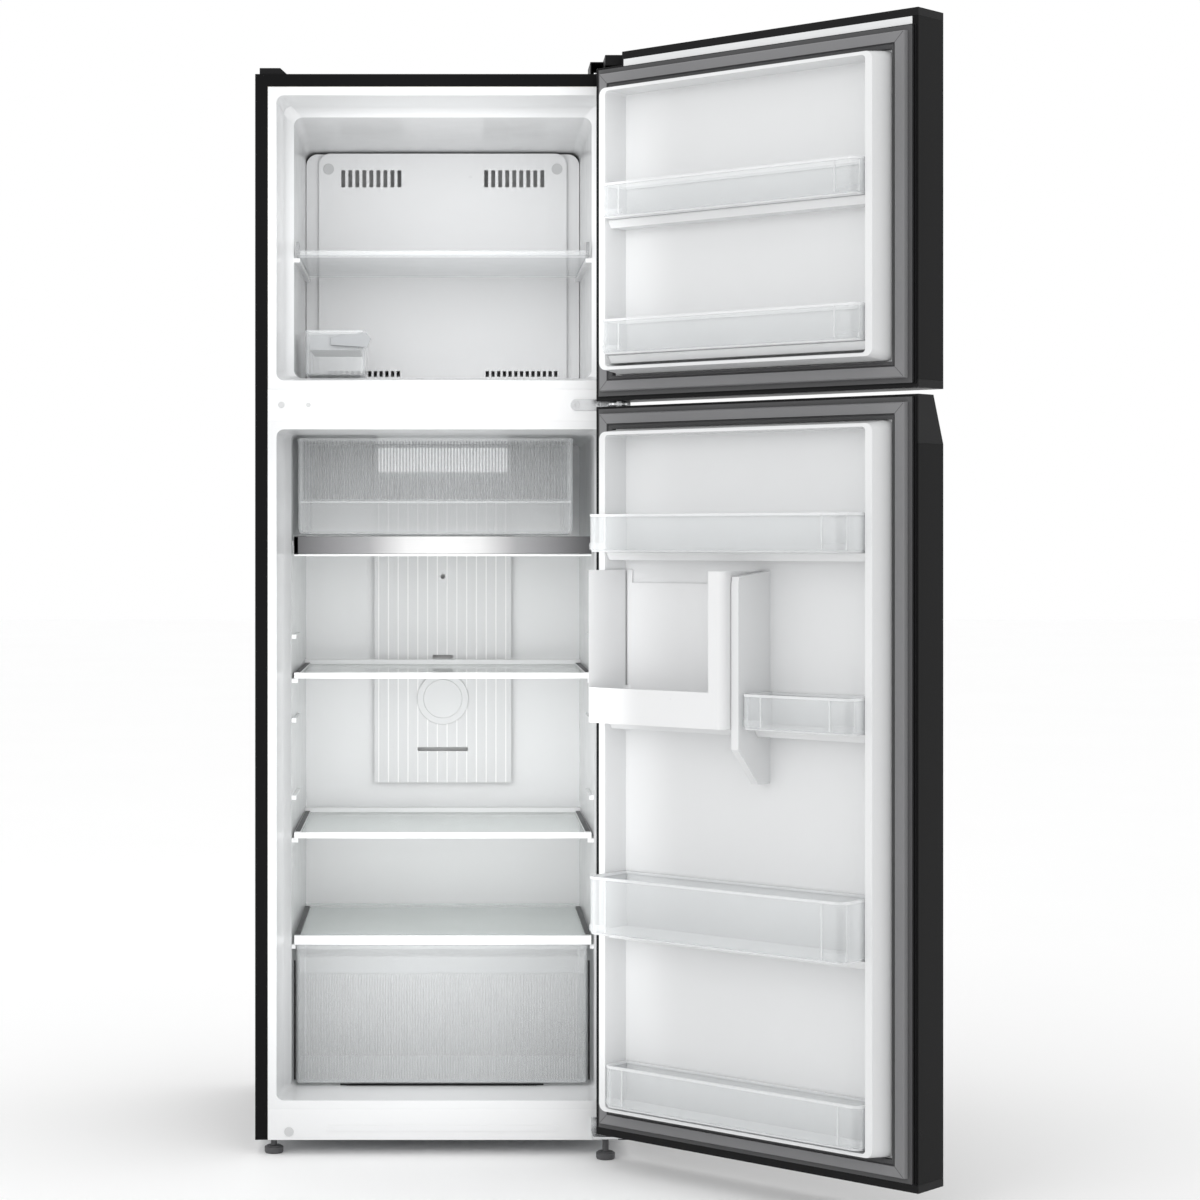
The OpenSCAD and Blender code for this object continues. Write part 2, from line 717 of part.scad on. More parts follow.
module machine_cover() {
    x = half_w - sheet - 2;
    color("#3a3c3e") difference() {
        union() {
            box(-x, x, cab_d - 2, cab_d, z_base + 4, machine_z - 2);
            rod_y(gland_x, machine_z - 30, cab_d, cab_d + 6, 11);
            rod_y(gland_x, machine_z - 30, cab_d - 8, cab_d, 9);
        }
        rod_y(gland_x, machine_z - 30, cab_d - 10, cab_d + 10, 4);
        for (row = [0:5], side = [-1, 0, 1]) along_y(cab_d - 3, cab_d + 1)
            rrect(side * 150 - 60, side * 150 + 60, z_base + 30 + row * 18,
                z_base + 38 + row * 18, 3.9);
    }
}

// A roller with a stub axle moulded on each side
module roller(x) {
    color("#4a4d50") translate([x, roller_y, roller_r]) rotate([0, 90, 0]) union() {
        cylinder(r = roller_r, h = roller_w, center = true);
        cylinder(r = axle_r, h = roller_w + 10, center = true);
    }
}

module foot(x, y, top) {
    color("#3d4043") translate([x, y, 0]) union() {
        cylinder(r = foot_r - 1, h = 2);
        translate([0, 0, 2]) cylinder(r = foot_r, h = foot_h - 4);
        translate([0, 0, foot_h - 2]) cylinder(r = foot_r - 3, h = 2);
        cylinder(r = stud_r, h = top);
    }
}

module freezer_shelf() {
    z = freezer_shelf_z;
    x = freezer_shelf_x;
    y1 = freezer_shelf_y + freezer_shelf_d;
    color("#e9edef") union() {
        box(-x + 2, x - 2, freezer_shelf_y + 8, y1 - 8, z - 10, z - 6);
        along_x(-x, x) polygon([[freezer_shelf_y, z - 10], [freezer_shelf_y + 10, z - 11],
            [freezer_shelf_y + 10, z - 1], [freezer_shelf_y + 3, z]]);
        box(-x, x, y1 - 10, y1, z - 11, z + 4);
        both_sides() along_x(x - 3, x) polygon([[freezer_shelf_y, z - 10],
            [freezer_shelf_y + 40, z - 10], [freezer_shelf_y + 10, z + 14],
            [freezer_shelf_y + 2, z + 14]]);
    }
}

ice_x = [-mouth_w + 41, -mouth_w + 139];
ice_y = [90, 270];
ice_z = [freezer_floor + 6, freezer_floor + 79];
tray_axis = [(ice_x[0] + ice_x[1]) / 2, ice_z[1] - 18];

module ice_box() {
    color("#dfe6ea") difference() {
        up(ice_z[0], ice_z[1]) rrect(ice_x[0], ice_x[1], ice_y[0], ice_y[1], 6);
        up(ice_z[0] + clear_t, ice_z[1] + 1) rrect(ice_x[0] + clear_t, ice_x[1] - clear_t,
            ice_y[0] + clear_t, ice_y[1] - clear_t, 4);
        rod_y(tray_axis[0], tray_axis[1], ice_y[0] - 1, ice_y[1] + 1, 4 + run_fit);
    }
}

module ice_tray() {
    w = (ice_x[1] - ice_x[0]) / 2 - 8;
    y0 = ice_y[0] + clear_t + 3;
    y1 = ice_y[1] - clear_t - 3;
    cell = (y1 - y0 - 2) / 5;
    color("#9aa3a9") union() {
        difference() {
            box(tray_axis[0] - w, tray_axis[0] + w, y0, y1, tray_axis[1] - 14, tray_axis[1] + 12);
            for (i = [0:4], side = [0, 1]) box(tray_axis[0] - w + 2 + side * (w - 1),
                tray_axis[0] - 1 + side * (w - 1), y0 + 2 + i * cell, y0 + i * cell + cell,
                tray_axis[1] - 12, tray_axis[1] + 13);
        }
        rod_y(tray_axis[0], tray_axis[1], ice_y[0] - 5, y0, 4);
        rod_y(tray_axis[0], tray_axis[1], y1, ice_y[1] + 2, 4);
        along_y(ice_y[0] - 6, ice_y[0] - 2) polygon([[tray_axis[0] - 6, tray_axis[1] - 6],
            [ice_x[1] + 4, tray_axis[1] - 10], [ice_x[1] + 10, tray_axis[1] + 4],
            [ice_x[1] + 2, tray_axis[1] + 14], [tray_axis[0] - 6, tray_axis[1] + 6]]);
    }
}

module shelf_glass(z) {
    x = shelf_x - 4;
    color("#cfe0e2") box(-x, x, shelf_y + 6, shelf_y + shelf_d - 6, z - 2 - glass_t, z - 2);
}

// Front and back mouldings and side strips that grip the glass
module shelf_trim(z, h) {
    x = shelf_x;
    y1 = shelf_y + shelf_d;
    color("#dfe3e4") difference() {
        union() {
            along_x(-x, x) polygon([[shelf_y, z - h], [shelf_y + 14, z - h],
                [shelf_y + 14, z - 1], [shelf_y + 2, z]]);
            box(-x, x, y1 - 14, y1, z - h, z + 6);
            both_sides() box(x - 10, x, shelf_y + 10, y1 - 10, z - h, z);
        }
        box(-x + 4, x - 4, shelf_y + 6, y1 - 6, z - 2 - glass_t, z - 2);
    }
}

module crisper_cover() {
    z = cover_z1;
    y1 = shelf_y + shelf_d;
    color("#dbe4e5") union() {
        along_x(-shelf_x, shelf_x) polygon([[shelf_y, cover_z0], [shelf_y + 10, cover_z0],
            [shelf_y + 16, z - 5], [shelf_y + 16, z - 1], [shelf_y + 2, z]]);
        box(-shelf_x + 4, shelf_x - 4, shelf_y + 10, y1 - 8, z - 1 - glass_t, z - 1);
        box(-shelf_x, shelf_x, y1 - 12, y1, cover_z0, z + 4);
        both_sides() box(shelf_x - 9, shelf_x, shelf_y + 8, y1 - 8, cover_z0, z);
    }
}

// An open drawer with a ribbed front: ribs from rib_z0 to rib_z1
module drawer(x0, x1, y0, y1, z0, z1, rib_z0, rib_z1) {
    t = clear_t;
    corner = 5.5;
    pitch = 5;
    n = floor((x1 - x0 - 16) / pitch);
    difference() {
        up(z0, z1) rrect(x0, x1, y0 + 2, y1, corner);
        up(z0 + t, z1 + 1) rrect(x0 + t, x1 - t, y0 + 2 + t, y1 - t, corner - t);
    }
    for (i = [0:n]) box(x0 + 8 + i * pitch, x0 + 10.2 + i * pitch, y0 + 1, y0 + 2.5,
        rib_z0, rib_z1);
}

crisper_x0 = -shelf_x + 3;
crisper_x1 = shelf_x - 6;

module crisper_drawer() {
    color("#dce6ea") union() {
        drawer(crisper_x0, crisper_x1, shelf_y, hump_y - 8, drawer_z0, drawer_z0 + crisper_h,
            drawer_z0 + 12, drawer_z0 + crisper_h - 45);
        box(crisper_x0 + 2, crisper_x1 - 2, shelf_y, shelf_y + 4,
            drawer_z0 + crisper_h - 42, drawer_z0 + crisper_h - 39);
    }
}

chiller_x0 = -shelf_x + 5;
chiller_x1 = shelf_x - 29;

module chiller_drawer() {
    color("#dbe2e5") union() {
        drawer(chiller_x0, chiller_x1, shelf_y, shelf_y + 340, chiller_z0, chiller_z1,
            chiller_z0 + 53, chiller_z1 - 1);
        box(chiller_x0 + 2, chiller_x1 - 2, shelf_y, shelf_y + 4, chiller_z0 + 45,
            chiller_z0 + 48);
    }
}

// Turns a piece that is drawn with its door closed to the door's open angle
module on_door() {
    translate([hinge_x, hinge_y, 0]) rotate([0, 0, door_open])
        translate([-hinge_x, -hinge_y, 0]) children();
}

// Steel skin: outer face, two sides and a narrow return, from z0 to z1
module skin(z0, z1) {
    difference() {
        box(-door_x, door_x, door_out, door_in, z0, z1);
        box(-door_x + sheet, door_x - sheet, door_out + sheet, door_in - sheet, z0 - 1, z1 + 1);
        box(-door_x + skin_return, door_x - skin_return, door_in - 2 * sheet, door_in + 1,
            z0 - 1, z1 + 1);
    }
}

// Front slice of a door liner's raised frame at height b, grown by g
module frame_slice(b, x, z0, z1, r) {
    along_y(door_in + b, door_in + b + eps) corners(-x, x, z0, z1, r);
}

module frame_outside(z0, z1, g) {
    t = dyke_taper;
    hull() {
        frame_slice(-liner_t, dyke_side + g, z0 - g, z1 + g, 14 + g);
        frame_slice(dyke_h + g, dyke_side - t + g, z0 + t - g, z1 - t + g, 12 + g);
    }
}

module frame_recess(z0, z1, g) {
    w = dyke_end;
    hull() {
        frame_slice(g == 0 ? 0 : -liner_t, dyke_x + g, z0 + w - g, z1 - w + g, 5);
        frame_slice(dyke_h + 1, dyke_x + 2 + g, z0 + w - 1 - g, z1 - w + 1 + g, 6);
    }
}

module door_liner(z0, z1, door_z0, door_z1) {
    x = door_x - skin_return - 0.3;
    difference() {
        union() {
            along_y(door_in - liner_t, door_in) rrect(-x, x, door_z0, door_z1, 4);
            frame_outside(z0, z1, 0);
        }
        difference() {
            frame_outside(z0, z1, -liner_t);
            frame_recess(z0, z1, liner_t);
        }
        frame_recess(z0, z1, 0);
    }
}

module door_foam(z0, z1, door_z0, door_z1) {
    x = door_x - sheet;
    difference() {
        union() {
            box(-x, x, door_out + sheet, door_in - liner_t, door_z0, door_z1);
            difference() {
                frame_outside(z0, z1, -liner_t);
                frame_recess(z0, z1, liner_t);
            }
        }
        both_sides() box(door_x - skin_return - 0.3, door_x, door_in - liner_t, door_in,
            door_z0 - 1, door_z1 + 1);
    }
}

module gasket(z0, z1) {
    x = dyke_side + gasket_w;
    difference() {
        union() {
            along_y(door_in, door_in + gasket_foot) rrect(-x, x, z0 - gasket_w, z1 + gasket_w, 8);
            along_y(door_in, door_in + gasket_top)
                rrect(-x + 8, x - 8, z0 - gasket_w + 8, z1 + gasket_w - 8, 6);
        }
        along_y(door_in - 1, door_in + gasket_top + 1)
            rrect(-dyke_side - 0.3, dyke_side + 0.3, z0 - 0.3, z1 + 0.3, 13);
        along_y(door_in + gasket_foot, door_in + gasket_top + 1)
            rrect(-x + 26, x - 26, z0 - gasket_w + 26, z1 + gasket_w - 26, 8);
    }
}

frame_z = [[freezer_z0 + dyke_play, freezer_z1 - dyke_play],
    [fridge_z0 + dyke_play, fridge_z1 - dyke_play]];

module freezer_door_skin() {
    color("#1b1c1e") on_door() difference() {
        skin(upper_door_z0 + cap_h, upper_door_z1 - cap_h);
        box(door_x - notch_w - 3, door_x + 1, door_out - 1, door_in + 1, notch_floor,
            upper_door_z1);
    }
}

notch_floor = notch_z - pin_l - 1;

module freezer_door_caps() {
    color("#26282a") on_door() difference() {
        union() {
            box(-door_x, door_x, door_out, door_in, upper_door_z0, upper_door_z0 + cap_h);
            box(-door_x, door_x - notch_w, door_out, door_in, upper_door_z1 - cap_h,
                upper_door_z1);
            box(door_x - notch_w, door_x, door_out, door_in, notch_floor, notch_z);
            box(door_x - notch_w - 3, door_x - notch_w, door_out, door_in, notch_floor,
                upper_door_z1);
        }
        rod_z(hinge_x, hinge_y, upper_door_z0 - 1, upper_door_z0 + cap_h + 1, pin_r + run_fit);
        rod_z(hinge_x, hinge_y, notch_floor - 1, notch_z + 1, pin_r + run_fit);
    }
}

module freezer_door_foam() {
    color("#e8dcae") on_door() difference() {
        door_foam(frame_z[0][0], frame_z[0][1], upper_door_z0 + cap_h, upper_door_z1 - cap_h);
        box(door_x - notch_w - 3, door_x + 1, door_out, door_in, notch_floor, upper_door_z1);
        rod_z(hinge_x, hinge_y, upper_door_z0, upper_door_z0 + cap_h + 6, pin_r + 2);
    }
}

// A ledge under a bin, moulded on the recess
module bin_rest(x0, x1, z, d) {
    along_x(x0, x1) polygon([[door_in - 1, z - fit - bin_ledge], [door_in + d - 6,
        z - fit - bin_ledge], [door_in + d, z - fit - 3], [door_in + d, z - fit],
        [door_in - 1, z - fit]]);
}

module freezer_door_liner() {
    color("#f1f2f3") on_door() difference() {
        union() {
            door_liner(frame_z[0][0], frame_z[0][1], upper_door_z0 + cap_h + 0.2, notch_floor - 0.2);
            along_y(door_in - liner_t, door_in) translate([-door_x + skin_return + 0.3, 0])
                translate([0, notch_floor - 10])
                square([door_w - notch_w - 3.3 - skin_return - 0.3,
                    upper_door_z1 - cap_h - 0.2 - notch_floor + 10]);
            for (z = [upper_bin_z, lower_bin_z]) bin_rest(-dyke_x - 1, dyke_x + 1, z, 42);
        }
    }
}

module freezer_door_gasket() {
    color("#85888b") on_door() gasket(frame_z[0][0], frame_z[0][1]);
}

// An open bin: rounded front corners, walls all round, a lower back wall
module door_bin(x0, x1, d, z0, z1, back) {
    y0 = door_in + fit;
    y1 = door_in + d;
    difference() {
        up(z0, z1) rrect(x0, x1, y0, y1, 12);
        up(z0 + clear_t, z1 + 1) rrect(x0 + clear_t, x1 - clear_t, y0 + clear_t, y1 - clear_t, 10);
        box(x0 + 14, x1 - 14, y0 - 1, y0 + clear_t + 1, z0 + back, z1 + 1);
    }
}

module freezer_bin_upper() {
    color("#e3eaed") on_door() door_bin(-bin_x, bin_x, shallow_bin_d, upper_bin_z,
        upper_bin_z + 54, 20);
}

module freezer_bin_lower() {
    color("#e3eaed") on_door() door_bin(-bin_x, bin_x, shallow_bin_d, lower_bin_z,
        lower_bin_z + 54, 20);
}

module fridge_door_skin() {
    color("#1b1c1e") on_door() skin(lower_door_z0 + cap_h, lower_door_z1 - grip_h);
}

module grip_outline(inset) {
    polygon([[door_out + inset, lower_door_z1 - grip_h - (inset > 0 ? 1 : 0)],
        [door_out + grip_slant + inset, lower_door_z1 - (inset > 0 ? 14 : 0)],
        [door_in - inset, lower_door_z1 - (inset > 0 ? 14 : 0)],
        [door_in - inset, lower_door_z1 - grip_h - (inset > 0 ? 1 : 0)]]);
}

module fridge_door_caps() {
    color("#2b2d30") on_door() difference() {
        union() {
            box(-door_x, door_x, door_out, door_in, lower_door_z0, lower_door_z0 + cap_h);
            along_x(-door_x, door_x) grip_outline(0);
        }
        along_x(-door_x + 3, door_x - 3) grip_outline(3);
        rod_z(hinge_x, hinge_y, lower_door_z0 - 1, lower_door_z0 + cap_h + 1, pin_r + run_fit);
        rod_z(hinge_x, hinge_y, lower_door_z1 - pin_l - 2, lower_door_z1 + 1, pin_r + run_fit);
        box(-door_x + skin_return, door_x - skin_return, door_in - 3 - eps, door_in + 1,
            lower_door_z1 - grip_h - 1, lower_door_z1 - 6);
    }
}

module fridge_door_foam() {
    top = lower_door_z1 - grip_h;
    color("#e8dcae") on_door() difference() {
        door_foam(frame_z[1][0], frame_z[1][1], lower_door_z0 + cap_h, lower_door_z1 - 15);
        box(-door_x - 1, door_x + 1, door_out - 1, door_out + 30, top, lower_door_z1);
        both_sides() box(door_x - skin_return - 0.3, door_x + 1, door_out, door_in + 1, top,
            lower_door_z1);
        rod_z(hinge_x, hinge_y, lower_door_z0, lower_door_z0 + cap_h + 6, pin_r + 2);
    }
}

module fridge_door_liner() {
    color("#f1f2f3") on_door() union() {
        door_liner(frame_z[1][0], frame_z[1][1], lower_door_z0 + cap_h + 0.2, lower_door_z1 - 6.2);
        for (z = [top_bin_z, large_bin_z]) bin_rest(-dyke_x - 1, dyke_x + 1, z, 46);
        bin_rest(rib_x + 7, dyke_x + 1, pocket_z, 40);
        bin_rest(-dyke_x - 1, rib_x - 7, pocket_z, 40);
        along_x(rib_x - 6.5, rib_x + 6.5) polygon([[door_in - 1, pocket_z1], [door_in + 78,
            pocket_z1 - 8], [door_in + 80, pocket_z1 - 20], [door_in + 80, pocket_z - 30],
            [door_in + 30, pocket_z - 84], [door_in - 1, pocket_z - 84]]);
    }
}

module fridge_door_gasket() {
    color("#85888b") on_door() gasket(frame_z[1][0], frame_z[1][1]);
}

module fridge_bin_top() {
    color("#e3eaed") on_door() door_bin(-bin_x, bin_x, bin_d, top_bin_z, top_bin_z + 58, 24);
}

// Bottle pocket: a low front with one tall side beside the rib
pocket_side = 26;

module bottle_pocket() {
    x0 = rib_x + 8;
    x1 = bin_x;
    low = pocket_z + 54;
    color("#f3f4f5") on_door() difference() {
        door_bin(x0, x1, bin_d, pocket_z, pocket_z1, pocket_z1 - pocket_z - 20);
        box(x0 + pocket_side, x1 - clear_t, door_in + clear_t + fit, door_in + bin_d + 1, low,
            pocket_z1 + 1);
    }
}

module small_bin() {
    color("#e3eaed") on_door() door_bin(-bin_x, rib_x - 8, bin_d - 20, pocket_z, pocket_z + 53, 24);
}

module large_bin() {
    color("#e3eaed") on_door() door_bin(-bin_x, bin_x, bin_d, large_bin_z, large_bin_z + 89, 40);
}

module bottom_bin() {
    color("#e3eaed") on_door() door_bin(-bin_x, bin_x, shallow_bin_d - 8, bottom_bin_z,
        bottom_bin_z + 65, 24);
}

outer_shell();
back_panel();
base_frame();
cabinet_foam();
freezer_liner();
fridge_liner();
centre_beam_cover();
kick_plate();
screw_caps();
top_covers();
top_hinge();
centre_hinge();
bottom_hinge();
hinge_screws();
evaporator_cover();
evaporator_coil();
fan_motor();
fan();
air_duct_cover();
deodoriser_cover();
lamp_lens();
chiller_shelf();
chiller_trim();
compressor();
compressor_mounts();
refrigerant_tubes();
drain_pan();
control_box();
machine_cover();
roller(-roller_x);  // roller_left
roller(roller_x);  // roller_right
foot(left_foot_x, left_foot_y, z_base + 40);  // foot_left
foot(right_foot_x, right_foot_y, bottom_plate_z + 3);  // foot_right
freezer_shelf();
ice_box();
ice_tray();
shelf_glass(upper_shelf_z);  // upper_shelf_glass
shelf_trim(upper_shelf_z, shelf_trim_h);  // upper_shelf_trim
shelf_glass(lower_shelf_z);  // lower_shelf_glass
shelf_trim(lower_shelf_z, shelf_trim_h);  // lower_shelf_trim
crisper_cover();
crisper_drawer();
chiller_drawer();
freezer_door_skin();
freezer_door_caps();
freezer_door_foam();
freezer_door_liner();
freezer_door_gasket();
freezer_bin_upper();
freezer_bin_lower();
fridge_door_skin();
fridge_door_caps();
fridge_door_foam();
fridge_door_liner();
fridge_door_gasket();
fridge_bin_top();
bottle_pocket();
small_bin();
large_bin();
bottom_bin();
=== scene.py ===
"""Looks for a two-door top freezer refrigerator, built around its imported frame.

Sizes are in millimetres in the PropertyGroups and in the shape functions, and
become metres when a piece is finished. Stage sizes are in metres. Door pieces are
shaped with the door closed, where their sides are square to X, Y and Z, and then
swung to the open rest pose by the door's own hinge.
"""

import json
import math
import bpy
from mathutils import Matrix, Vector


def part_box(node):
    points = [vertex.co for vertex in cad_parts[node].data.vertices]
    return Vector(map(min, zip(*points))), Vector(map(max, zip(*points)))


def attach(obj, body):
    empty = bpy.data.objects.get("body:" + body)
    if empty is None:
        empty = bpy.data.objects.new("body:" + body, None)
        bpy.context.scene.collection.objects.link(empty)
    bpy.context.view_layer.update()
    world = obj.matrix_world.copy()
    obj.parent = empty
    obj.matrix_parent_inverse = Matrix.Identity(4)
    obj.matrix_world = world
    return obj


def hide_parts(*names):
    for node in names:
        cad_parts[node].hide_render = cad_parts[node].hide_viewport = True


bl_info = {
    "name": "Top Freezer Refrigerator",
    "version": (1, 0, 0),
    "blender": (4, 5, 0),
    "location": "View3D > Sidebar > Refrigerator",
    "description": "Finishes a two-door top freezer refrigerator around its CAD frame",
    "category": "Object",
}

import bmesh
import bpy
from bpy.props import FloatProperty, FloatVectorProperty, PointerProperty
from mathutils import Matrix, Vector

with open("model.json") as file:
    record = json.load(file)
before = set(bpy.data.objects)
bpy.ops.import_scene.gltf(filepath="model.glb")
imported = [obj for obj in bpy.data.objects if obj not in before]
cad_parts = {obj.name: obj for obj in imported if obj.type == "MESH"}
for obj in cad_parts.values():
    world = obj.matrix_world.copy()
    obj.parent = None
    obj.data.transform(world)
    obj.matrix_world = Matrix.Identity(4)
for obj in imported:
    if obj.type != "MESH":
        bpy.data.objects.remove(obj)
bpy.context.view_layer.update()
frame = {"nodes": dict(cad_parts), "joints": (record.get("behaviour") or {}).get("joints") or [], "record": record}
NODES = frame["nodes"]
MM = 0.001
SLOTS = {row["node"]: row["material_slot"] for row in frame["record"]["subparts"]}
BODIES = {
    node: body
    for body, nodes in frame["record"]["behaviour"]["bodies"].items()
    for node in nodes
}


# ---------------------------------------------------------------- properties


class FridgeSizes(bpy.types.PropertyGroup):
    """Sizes of the moulded details, in millimetres."""

    wall: FloatProperty(name="Clear wall", description="Wall of bins and drawers", default=2.4)
    rim: FloatProperty(name="Rim", description="Height of the bead on bins and drawers", default=4)
    rib_pitch: FloatProperty(
        name="Rib pitch", description="Spacing of the fine ribs on the drawers", default=5.2
    )
    gasket_band: FloatProperty(
        name="Gasket band", description="Width of the flat magnetic band", default=14
    )
    steel_edge: FloatProperty(
        name="Steel edge", description="Rounding of the bent steel edges", default=1.4
    )


class FridgeColours(bpy.types.PropertyGroup):
    """Base colours of the finishes."""

    paint: FloatVectorProperty(
        name="Steel paint",
        description="Colour of the doors and the cabinet's shell",
        subtype="COLOR",
        default=(0.005, 0.005, 0.0053),
    )
    liner: FloatVectorProperty(
        name="Liner",
        description="Colour of the moulded liners",
        subtype="COLOR",
        default=(0.75, 0.757, 0.762),
    )
    gasket: FloatVectorProperty(
        name="Gasket",
        description="Colour of the door gaskets",
        subtype="COLOR",
        default=(0.20, 0.20, 0.205),
    )


# ---------------------------------------------------------------- finishes


class Wire:
    """One output of a shader node. Arithmetic on wires adds Math nodes."""

    def __init__(self, finish, socket):
        self.finish, self.socket = finish, socket

    def __add__(self, other):
        return self.finish.math("ADD", self, other)

    def __radd__(self, other):
        return self.finish.math("ADD", other, self)

    def __mul__(self, other):
        return self.finish.math("MULTIPLY", self, other)

    def __rmul__(self, other):
        return self.finish.math("MULTIPLY", other, self)

    def __truediv__(self, other):
        return self.finish.math("DIVIDE", self, other)

    def __rtruediv__(self, other):
        return self.finish.math("DIVIDE", other, self)


class Finish:
    """A node material. Values that are the same all over are set on its shader."""

    def __init__(self, name, constants):
        self.material = bpy.data.materials.new(name)
        self.material.use_nodes = True
        self.tree = self.material.node_tree
        self.shader = self.tree.nodes["Principled BSDF"]
        for socket, value in constants.items():
            self.shader.inputs[socket].default_value = value
        self.place = self.node("ShaderNodeTexCoord", out="Object")

    def node(self, kind, settings=None, inputs=None, out=0):
        """Adds a node, sets it up, feeds its sockets and returns one of its outputs."""
        made = self.tree.nodes.new(kind)
        for key, value in (settings or {}).items():
            if key == "stops":
                while len(made.color_ramp.elements) < len(value):
                    made.color_ramp.elements.new(1)
                for element, (position, colour) in zip(made.color_ramp.elements, value):
                    element.position, element.color = position, colour
            else:
                setattr(made, key, value)
        for key, value in (inputs or {}).items():
            self.feed(made.inputs[key], value)
        return Wire(self, made.outputs[out])

    def feed(self, socket, value):
        """Links a wire to a socket, or sets the socket to a plain value."""
        if isinstance(value, Wire):
            self.tree.links.new(value.socket, socket)
        else:
            socket.default_value = value

    def math(self, operation, a, b=0.0):
        """The result of a Math node."""
        return self.node("ShaderNodeMath", {"operation": operation}, {0: a, 1: b})

    def noise(self, scale, detail=2.0, stretch=None, rough=0.5):
        """Soft noise from 0 to 1, with scale in cells per metre."""
        place = self.place
        if stretch:
            place = self.node("ShaderNodeMapping", None, {"Vector": place, "Scale": stretch})
        return self.node(
            "ShaderNodeTexNoise",
            None,
            {"Vector": place, "Scale": scale, "Detail": detail, "Roughness": rough},
            out="Fac",
        )

    def blend(self, factor, low, high):
        """A colour between two others, by a wire from 0 to 1."""
        return self.node(
            "ShaderNodeMix",
            {"data_type": "RGBA"},
            {0: factor, 6: (*low, 1), 7: (*high, 1)},
            out=2,
        )

    def wear(self, base, spread, scale=6.0):
        """Base Color with a faint broad change of tone."""
        low = [c * (1 - spread) for c in base]
        high = [min(1, c * (1 + spread)) for c in base]
        self.feed(self.shader.inputs["Base Color"], self.blend(self.noise(scale), low, high))

    def gloss(self, rough, spread, scale=30.0):
        """Roughness with the faint smears of a surface that is wiped and touched."""
        self.feed(
            self.shader.inputs["Roughness"],
            self.noise(scale, 4.0) * (2 * spread) + (rough - spread),
        )

    def relief(self, height, depth):
        """Bumps the surface by a wire from 0 to 1 that stands for depth millimetres."""
        bump = self.node(
            "ShaderNodeBump", None, {"Strength": 1.0, "Distance": depth * MM, "Height": height}
        )
        self.feed(self.shader.inputs["Normal"], bump)


def make_paint(name, base, rough, grain_depth, coat):
    """Baked enamel with a fine orange-peel grain."""
    f = Finish(
        name,
        {
            "IOR": 1.5,
            "Specular IOR Level": 0.07,
            "Coat Weight": coat,
            "Coat Roughness": 0.12,
        },
    )
    f.wear(base, 0.25, 4)
    f.gloss(rough, 0.06, 14)
    f.relief(f.noise(700, 3.0) * 0.7 + f.noise(160) * 0.3, grain_depth)
    return f.material


def make_moulding(name, base, rough, grain_depth, grain=260.0, spread=0.02, shine=0.5):
    """Moulded plastic: nearly even in colour, with a fine skin."""
    f = Finish(name, {"IOR": 1.5, "Specular IOR Level": shine})
    f.wear(base, spread, 5)
    f.gloss(rough, 0.05, 22)
    f.relief(f.noise(grain, 3.0), grain_depth)
    return f.material


def make_metal(name, base, rough, stretch, grain_depth, spread=0.1):
    """Bare metal with a directional or an even grain."""
    f = Finish(name, {"Metallic": 1.0})
    smear = 0.07
    grain = f.noise(60, 3.0, stretch, 0.7)
    low = [c * (1 - spread) for c in base]
    f.feed(f.shader.inputs["Base Color"], f.blend(grain, low, base))
    f.feed(f.shader.inputs["Roughness"], grain * (2 * smear) + (rough - smear))
    f.relief(grain, grain_depth)
    return f.material


def make_galvanised():
    """Zinc-coated sheet with its crystal spangle."""
    f = Finish("galvanised_sheet", {"Metallic": 1.0})
    crystals_per_metre = 170.0
    dull, bright = (0.52, 0.53, 0.545), (0.64, 0.65, 0.66)
    cells = f.node(
        "ShaderNodeTexVoronoi", None, {"Vector": f.place, "Scale": crystals_per_metre}, out="Color"
    )
    tone = f.node("ShaderNodeSeparateColor", None, {0: cells})
    f.feed(f.shader.inputs["Base Color"], f.blend(tone, dull, bright))
    f.feed(f.shader.inputs["Roughness"], tone * 0.2 + 0.32)
    f.relief(f.noise(300) * 0.5 + tone * 0.5, 0.02)
    return f.material


def make_trim_steel():
    """Brushed strip with a painted highlight: its colour is bright in its middle and falls off to dark at its
    ends.
    """
    f = Finish("brushed_strip_painted_highlight", {"Metallic": 0.9})
    half_length = 243
    across = f.node("ShaderNodeSeparateXYZ", None, {0: f.place}, out="X")
    off_centre = f.math("ABSOLUTE", across / (half_length * MM))
    # Painted highlight: a ramp by distance from the middle, light in the middle and dark at the ends.
    tone = f.node(
        "ShaderNodeValToRGB",
        {
            "stops": [
                (0.0, (0.95, 0.95, 0.95, 1)),
                (0.25, (0.85, 0.85, 0.85, 1)),
                (0.5, (0.42, 0.42, 0.43, 1)),
                (1.0, (0.16, 0.16, 0.165, 1)),
            ]
        },
        {0: off_centre},
    )
    brush = f.noise(40, 3.0, (1, 40, 60), 0.7)
    dark = f.node(
        "ShaderNodeMix",
        {"data_type": "RGBA", "blend_type": "MULTIPLY"},
        {0: 0.25, 6: tone, 7: f.blend(brush, (0.5, 0.5, 0.5), (1, 1, 1))},
        out=2,
    )
    f.feed(f.shader.inputs["Base Color"], dark)
    f.feed(f.shader.inputs["Roughness"], brush * 0.15 + 0.3)
    f.relief(brush, 0.01)
    return f.material


def make_lined(name, base, line, pitch, share):
    """Moulded panel with fine bright lines down it, pitch millimetres apart."""
    f = Finish(name, {"IOR": 1.5})
    lines_before_middle = 100.5
    across = f.node("ShaderNodeSeparateXYZ", None, {0: f.place}, out="X")
    step = f.math("FRACT", across / (pitch * MM) + lines_before_middle)
    mask = f.math("GREATER_THAN", step, 1 - share)
    f.feed(f.shader.inputs["Base Color"], f.blend(mask, base, line))
    f.gloss(0.32, 0.05, 22)
    f.relief(mask + f.noise(260) * 0.05, 0.25)
    return f.material


